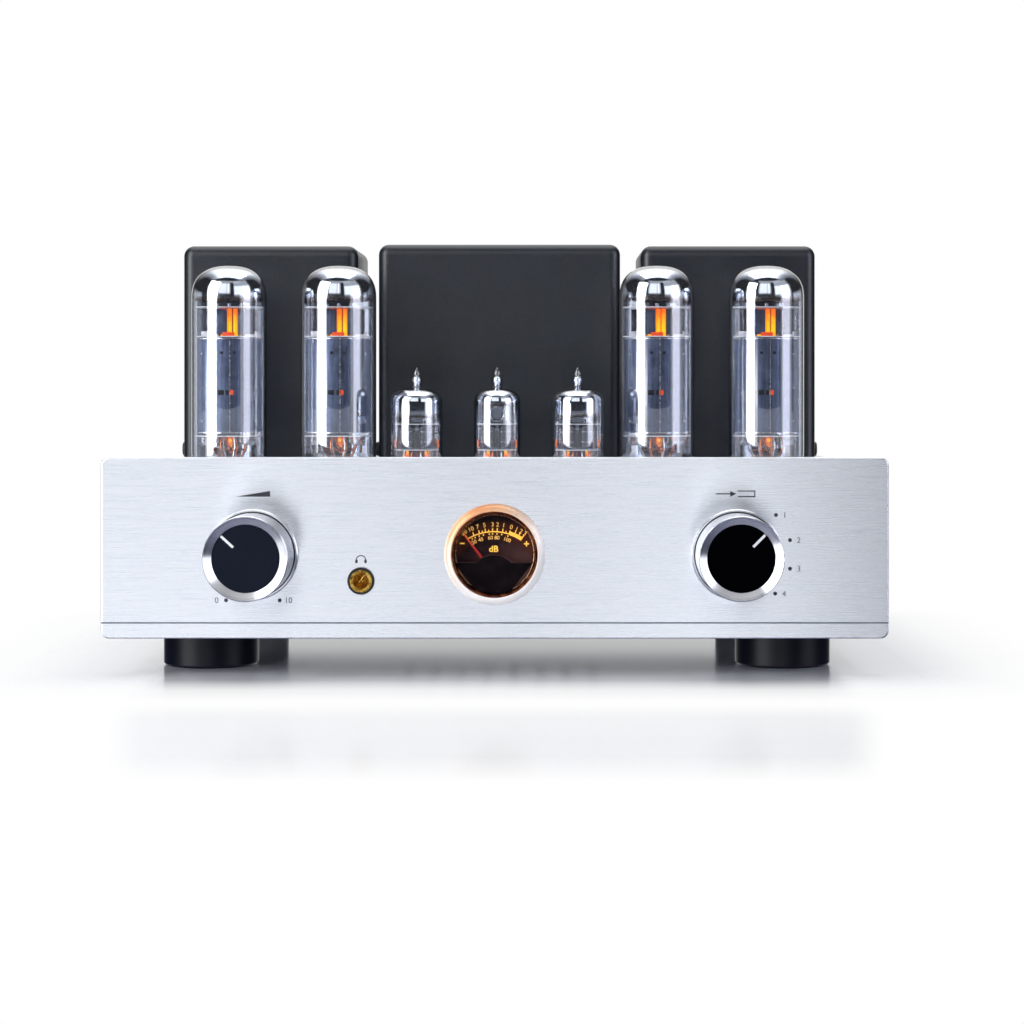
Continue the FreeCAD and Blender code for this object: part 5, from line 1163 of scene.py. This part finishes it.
def small_glass(body, low, top, axis, radius):
    shoulder = [(r, h) for r, h in dome(radius, SMALL_DOME, top, 26) if r > 2.9]
    side = [(0.0, low.z), (radius - 1.4, low.z), (radius - 0.5, low.z + 1.4), (radius - 0.4, low.z + 6.0),
            (radius, low.z + 11.0), (radius, (low.z + top) / 2 + 2.0)]
    inner = shrunk(side + shoulder, SMALL_WALL)
    floor_z = low.z + SMALL_FLOOR
    inner[:3] = [(0.0, floor_z), (radius - 2.2, floor_z), (radius - 1.3, floor_z + 1.0)]
    add_bulb(body, axis, side + shoulder + raised(TIP, top), inner + raised(TIP_INSIDE, top), 96)


def small_tube(i):
    body = f"small_tube_{i}"
    low, high, axis, radius = tube_box(body)
    top = high.z - SMALL_TIP_H
    small_glass(body, low, top, axis, radius)

    edge, silvered = (MIDDLE_EDGE, middle_mirror) if i == 2 else (OUTER_EDGE, outer_mirror)
    mirror = Piece(body + "_mirror", body, "electrode_metal", axis)
    line = dome(radius, SMALL_DOME, top, 40)
    mirror.add(turned(film_profile(line, radius, SMALL_WALL, edge - 2.2, 2.2)), silvered)
    # The film goes on into the tip
    tip_film = raised(TIP_FILM, top)
    tip_back = [(r - MIRROR_T, h) for r, h in reversed(tip_film)]
    mirror.add(turned(tip_film + tip_back, steps=48), silvered)
    mirror.done(angle=60)

    cage = Piece(body + "_cage", body, "electrode_metal", axis)
    size = radius / SMALL_TYPICAL_R
    # Two anodes side by side, each with its bands, heater end and posts
    half = 3.5 * size
    flat = 2.2 * size
    corners = [(-half, -1.2), (-flat, -4.3), (flat, -4.3), (half, -1.2)]
    rounded = softened([(x, y, 0.4) for x, y in corners + [(-x, -y) for x, y in corners]], 3)
    for s in (-1, 1):
        at = s * 4.3 * size
        outline = [(at + x, y) for x, y in rounded]
        cage.add(upright(outline, SMALL_LOW_Z + 0.6, SMALL_TOP_Z - 0.4), anode_dark)
        for z in (SMALL_LOW_Z + 3.2, SMALL_TOP_Z - 3.2):
            cage.add(upright(grown(outline, (at, 0), 1.04, 1.06), z, z + 0.35), nickel)
        cage.add(rod(at, 0, SMALL_LOW_Z - 1.8, SMALL_LOW_Z - 0.3, 0.85), flame)
        hot_end = softened([(0, SMALL_LOW_Z - 3.4, 0), (0.9, SMALL_LOW_Z - 3.2, 0.3),
                            (1.1, SMALL_LOW_Z - 2.0, 0.3), (0, SMALL_LOW_Z - 1.8, 0)])
        cage.add(turned(hot_end, (at, 0, 0), steps=16), ember)
        cage.add(rod(s * 8.6 * size, 0, SMALL_LOW_Z - 2.6, SMALL_TOP_Z + 1.4, 0.35), nickel)
        cage.add(rod(at, 0, SMALL_TOP_Z, SMALL_TOP_Z + 1.8, 0.6), nickel)
        cage.add(rod(at + s * 1.6, -1.4, SMALL_TOP_Z, SMALL_TOP_Z + 1.2, 0.3), nickel)
        # A thin plate low at either side glows with the ember paint: a painted glow of the heaters' light
        plate = block(about(s * 9.15 * size, 0.15), about(0, 1.2), about(SMALL_LOW_Z + 2.6, 1.6), 0.08)
        cage.add(plate, ember)
    for z in (SMALL_TOP_Z, SMALL_LOW_Z - 0.2):
        cage.add(flat_round(9.5 * size, 7.6 * size, z, 0.4), mica)
    # Getter ring, upright in the middle tube and flat in the others
    if i == 2:
        cage.add(ring((0, 0, SMALL_TOP_Z + 4.6), 3.0, 0.4, "y"), nickel)
    else:
        cage.add(ring((0, 0, SMALL_TOP_Z + 4.0), 3.4, 0.4), nickel)
    cage.add(rod(3.0, 0, SMALL_TOP_Z, SMALL_TOP_Z + 4.6, 0.3), nickel)
    for k in range(9):
        t = math.radians(-70 + 40 * k)
        x = math.cos(t)
        y = math.sin(t)
        lead = [(x * 5.9, y * 5.9, low.z + SMALL_FLOOR - 0.1), (x * 6.2, y * 5.6, SMALL_LOW_Z - 5.0),
                (x * 5.2, y * 4.4, SMALL_LOW_Z - 0.3)]
        cage.add(wire(lead, 0.35, bends=False), copper_wire if k % 3 else nickel)
    # The place behind the axis has no pin
    add_pins(cage, low.z - NOVAL_PIN_L, NOVAL_PIN_L, NOVAL_PIN_R, NOVAL_CIRCLE_R, range(1, NOVAL_PLACES),
             NOVAL_PLACES)
    cage.done(body + "_electrodes")


for i in (1, 2, 3):
    small_tube(i)

# Floor: near the object a plain pale floor that takes its shadow, further off white for the eye
FLOOR_HALF = 6000.0
WHITE_REACH = 100.0
WHITE_STOPS = ((0.0, 0.0), (0.13, 0.0), (0.28, 0.35), (0.45, 0.72), (0.75, 0.96), (1.0, 1.0))
SHINE_REACH = 300.0
SHINE_EDGE = 16.0
SHINE_STOPS = ((0.0, 0.0), (0.3, 0.0), (0.42, 0.32), (0.6, 0.45), (0.72, 0.45), (0.88, 0.0), (1.0, 0.0))


def floor_paint():
    paint = Paint("floor_white", (214, 216, 220), 0.0, 0.14, Specular_IOR_Level=0.38)
    axes = paint.axes()
    x = axes[0]
    ahead = paint.less(FRONT, axes[1])
    # How far a place is outside the object's outline, and the share of plain white there
    half_width = (cad_box[1][0] - cad_box[0][0]) / 2 / MM
    back = cad_box[1][1] / MM
    out_x = paint.largest(paint.less(paint.math("ABSOLUTE", x), half_width), 0.0)
    out_y = paint.largest(ahead, paint.less(axes[1], back), 0.0)
    white_out = paint.ramp(paint.math("DIVIDE", paint.length(out_x, out_y), WHITE_REACH), *WHITE_STOPS)
    # Ahead of the faceplate the floor is left plain enough to show a faint reflection of it
    shine = paint.ramp(paint.math("DIVIDE", ahead, SHINE_REACH), *SHINE_STOPS)
    for s in (-1, 1):
        narrowing = (FACE_HIGH.x - s * CAMERA_X) / CAMERA_AHEAD
        edge = paint.mixed((x, float(s)), (ahead, narrowing))
        inside = paint.between(edge, FACE_HIGH.x - SHINE_EDGE, FACE_HIGH.x, 1.0, 0.0, "SMOOTHSTEP")
        shine = paint.times(shine, inside)
    path = paint.rays()
    seen = paint.largest(path["Is Camera Ray"], path["Is Glossy Ray"], path["Is Transmission Ray"])
    white = paint.node("ShaderNodeEmission", {"Color": (1, 1, 1, 1), "Strength": 1.0})
    return paint.cover(paint.times(white_out, paint.less(1.0, shine), seen), white).made


floor_mesh = bpy.data.meshes.new("floor")
corners = rectangle(-FLOOR_HALF, -FLOOR_HALF, FLOOR_HALF, FLOOR_HALF)
floor_mesh.from_pydata([(x * MM, y * MM, 0.0) for x, y in corners], [], [(0, 1, 2, 3)])
floor_mesh.materials.append(floor_paint())
floor = bpy.data.objects.new("floor", floor_mesh)
bpy.context.scene.collection.objects.link(floor)
floor.visible_glossy = False

# World: white for the eye, and a plain studio for reflections and for soft light.
# A broad panel stands ahead of the object, left of the middle, from a little above the horizon to
# 45 degrees, and lights the floor under it. The light goes on down from the left softbox to the
# floor, and dims round the right one. Close to the object the floor is dark. Overhead is bright,
# and behind the object stands a white backdrop. The rest is dark.
AMBIENT = 0.29
DARK = 0.03
OVERHEAD = 2.2
LOW_FLOOR = (0.16, 0.165, 0.25, 1.0)
SIDE_FLOOR = (0.05, 0.06, 0.09, 1.0)
PANEL_ACROSS = ((0.32, 0.0), (0.36, 0.66), (0.475, 0.66), (0.49, 0.47), (0.51, 0.47), (0.519, 1.0),
                (0.526, 1.0), (0.532, 0.4), (0.551, 0.4), (0.566, 0.0))


def rise_and_fall(start, full, until, end):
    return ((start, 0.0), (full, 1.0), (until, 1.0), (end, 0.0))


REGIONS = (
    # Level, stops across, stops upwards
    (2.0, PANEL_ACROSS, rise_and_fall(0.56, 0.6, 0.82, 0.865)),
    (3.8, PANEL_ACROSS, rise_and_fall(0.22, 0.26, 0.4, 0.44)),
    (3.0, rise_and_fall(0.1, 0.12, 0.31, 0.33), rise_and_fall(0.27, 0.31, 0.5, 0.51)),
    (1.4, rise_and_fall(0.62, 0.64, 0.93, 0.96),
     ((0.54, 0.0), (0.57, 1.0), (0.74, 1.0), (0.77, 0.35), (0.86, 0.35), (0.88, 0.0))),
    (1.0, rise_and_fall(0.72, 0.745, 0.93, 0.96), rise_and_fall(0.42, 0.44, 0.55, 0.57)),
    (0.5, rise_and_fall(0.26, 0.3, 0.8, 0.86), rise_and_fall(0.85, 0.87, 0.895, 0.91)),
)
WHITE = (1, 1, 1, 1)
world = bpy.data.worlds.new("studio")
world.use_nodes = True
world.node_tree.nodes.clear()
bpy.context.scene.world = world
sky = Nodes(world.node_tree)
ray = sky.rays()
direction = sky.node("ShaderNodeTexCoord").outputs["Generated"]
axes = sky.node("ShaderNodeSeparateXYZ", {0: direction}).outputs
# The azimuth from -90 to 90 degrees becomes 0 to 1, and so does the height from straight down to
# straight up
turn = sky.math("ARCTAN2", axes[0], sky.times(axes[1], -1.0))
across = sky.add(sky.math("DIVIDE", turn, math.pi), 0.5)
height = sky.times(sky.add(axes[2], 1.0), 0.5)
rest = sky.ramp(height, (0.0, LOW_FLOOR), (0.15, LOW_FLOOR), (0.35, SIDE_FLOOR), (0.48, SIDE_FLOOR),
                (0.5, DARK), (1.0, DARK))
# The overhead panel runs on behind the object to the backdrop
beside = sky.math("ABSOLUTE", axes[0])
depth = sky.times(sky.add(axes[1], 1.0), 0.5)
levels = [sky.times(sky.ramp(beside, (0.0, 1.0), (0.3, 1.0), (0.5, 0.25), (0.7, 0.0)),
                    sky.ramp(depth, (0.36, 0.0), (0.39, 1.0), (0.75, 1.0), (0.95, 0.4)),
                    sky.ramp(height, (0.6, 0.0), (0.7, 1.0)), OVERHEAD)]
for level, stops_across, stops_up in REGIONS:
    levels.append(sky.times(sky.ramp(across, *stops_across), sky.ramp(height, *stops_up), level))
ahead = sky.node("ShaderNodeVectorMath", {0: rest, 1: sky.add(*levels)}, operation="ADD").outputs[0]
# Glass shows the backdrop all round it, and polished metal only where it stands
behind = sky.largest(sky.between(axes[1], 0.8, 0.95),
                     sky.times(sky.between(axes[1], -0.05, 0.1),
                               sky.ramp(height, (0.0, 1.0), (0.54, 1.0), (0.59, 0.0)),
                               ray["Is Transmission Ray"]))
sharp = sky.largest(ray["Is Glossy Ray"], ray["Is Transmission Ray"])


def blend(share, one, other):
    return sky.node("ShaderNodeMixRGB", {0: share, 1: one, 2: other}).outputs[0]


gloss = blend(sharp, (AMBIENT, AMBIENT, AMBIENT * 1.03, 1), blend(behind, ahead, WHITE))
shown = blend(ray["Is Camera Ray"], gloss, WHITE)
light = sky.node("ShaderNodeBackground", {"Color": shown, "Strength": 1.0})
sky.node("ShaderNodeOutputWorld", {"Surface": light.outputs[0]})

# Lamps
MIDDLE = Vector((0.0, 0.0, 80.0))


def softbox(name, place, width, height, power, colour=(255, 255, 255)):
    """An area lamp that faces the middle of the object."""
    data = bpy.data.lights.new(name, "AREA")
    data.shape = "RECTANGLE"
    data.size = width * MM
    data.size_y = height * MM
    data.energy = power
    data.color = linear(colour)[:3]
    lamp = bpy.data.objects.new(name, data)
    lamp.location = Vector(place) * MM
    lamp.rotation_euler = (MIDDLE - Vector(place)).to_track_quat("-Z", "Y").to_euler()
    bpy.context.scene.collection.objects.link(lamp)
    return lamp


def around(azimuth, elevation, reach):
    """A place round the object. Azimuth 0 is in front, and grows to the right."""
    a = math.radians(azimuth)
    e = math.radians(elevation)
    flat = reach * math.cos(e)
    return (flat * math.sin(a), -flat * math.cos(a), MIDDLE.z + reach * math.sin(e))


softbox("left_softbox", around(-50, 20, 1100), 590, 1100, 11)
softbox("right_softbox", around(60, 12, 1500), 640, 980, 4.8, (230, 232, 255))
softbox("overhead", (0, 150, 1500), 1300, 900, 14).visible_glossy = False

bpy.context.scene.view_settings.view_transform = "Standard"
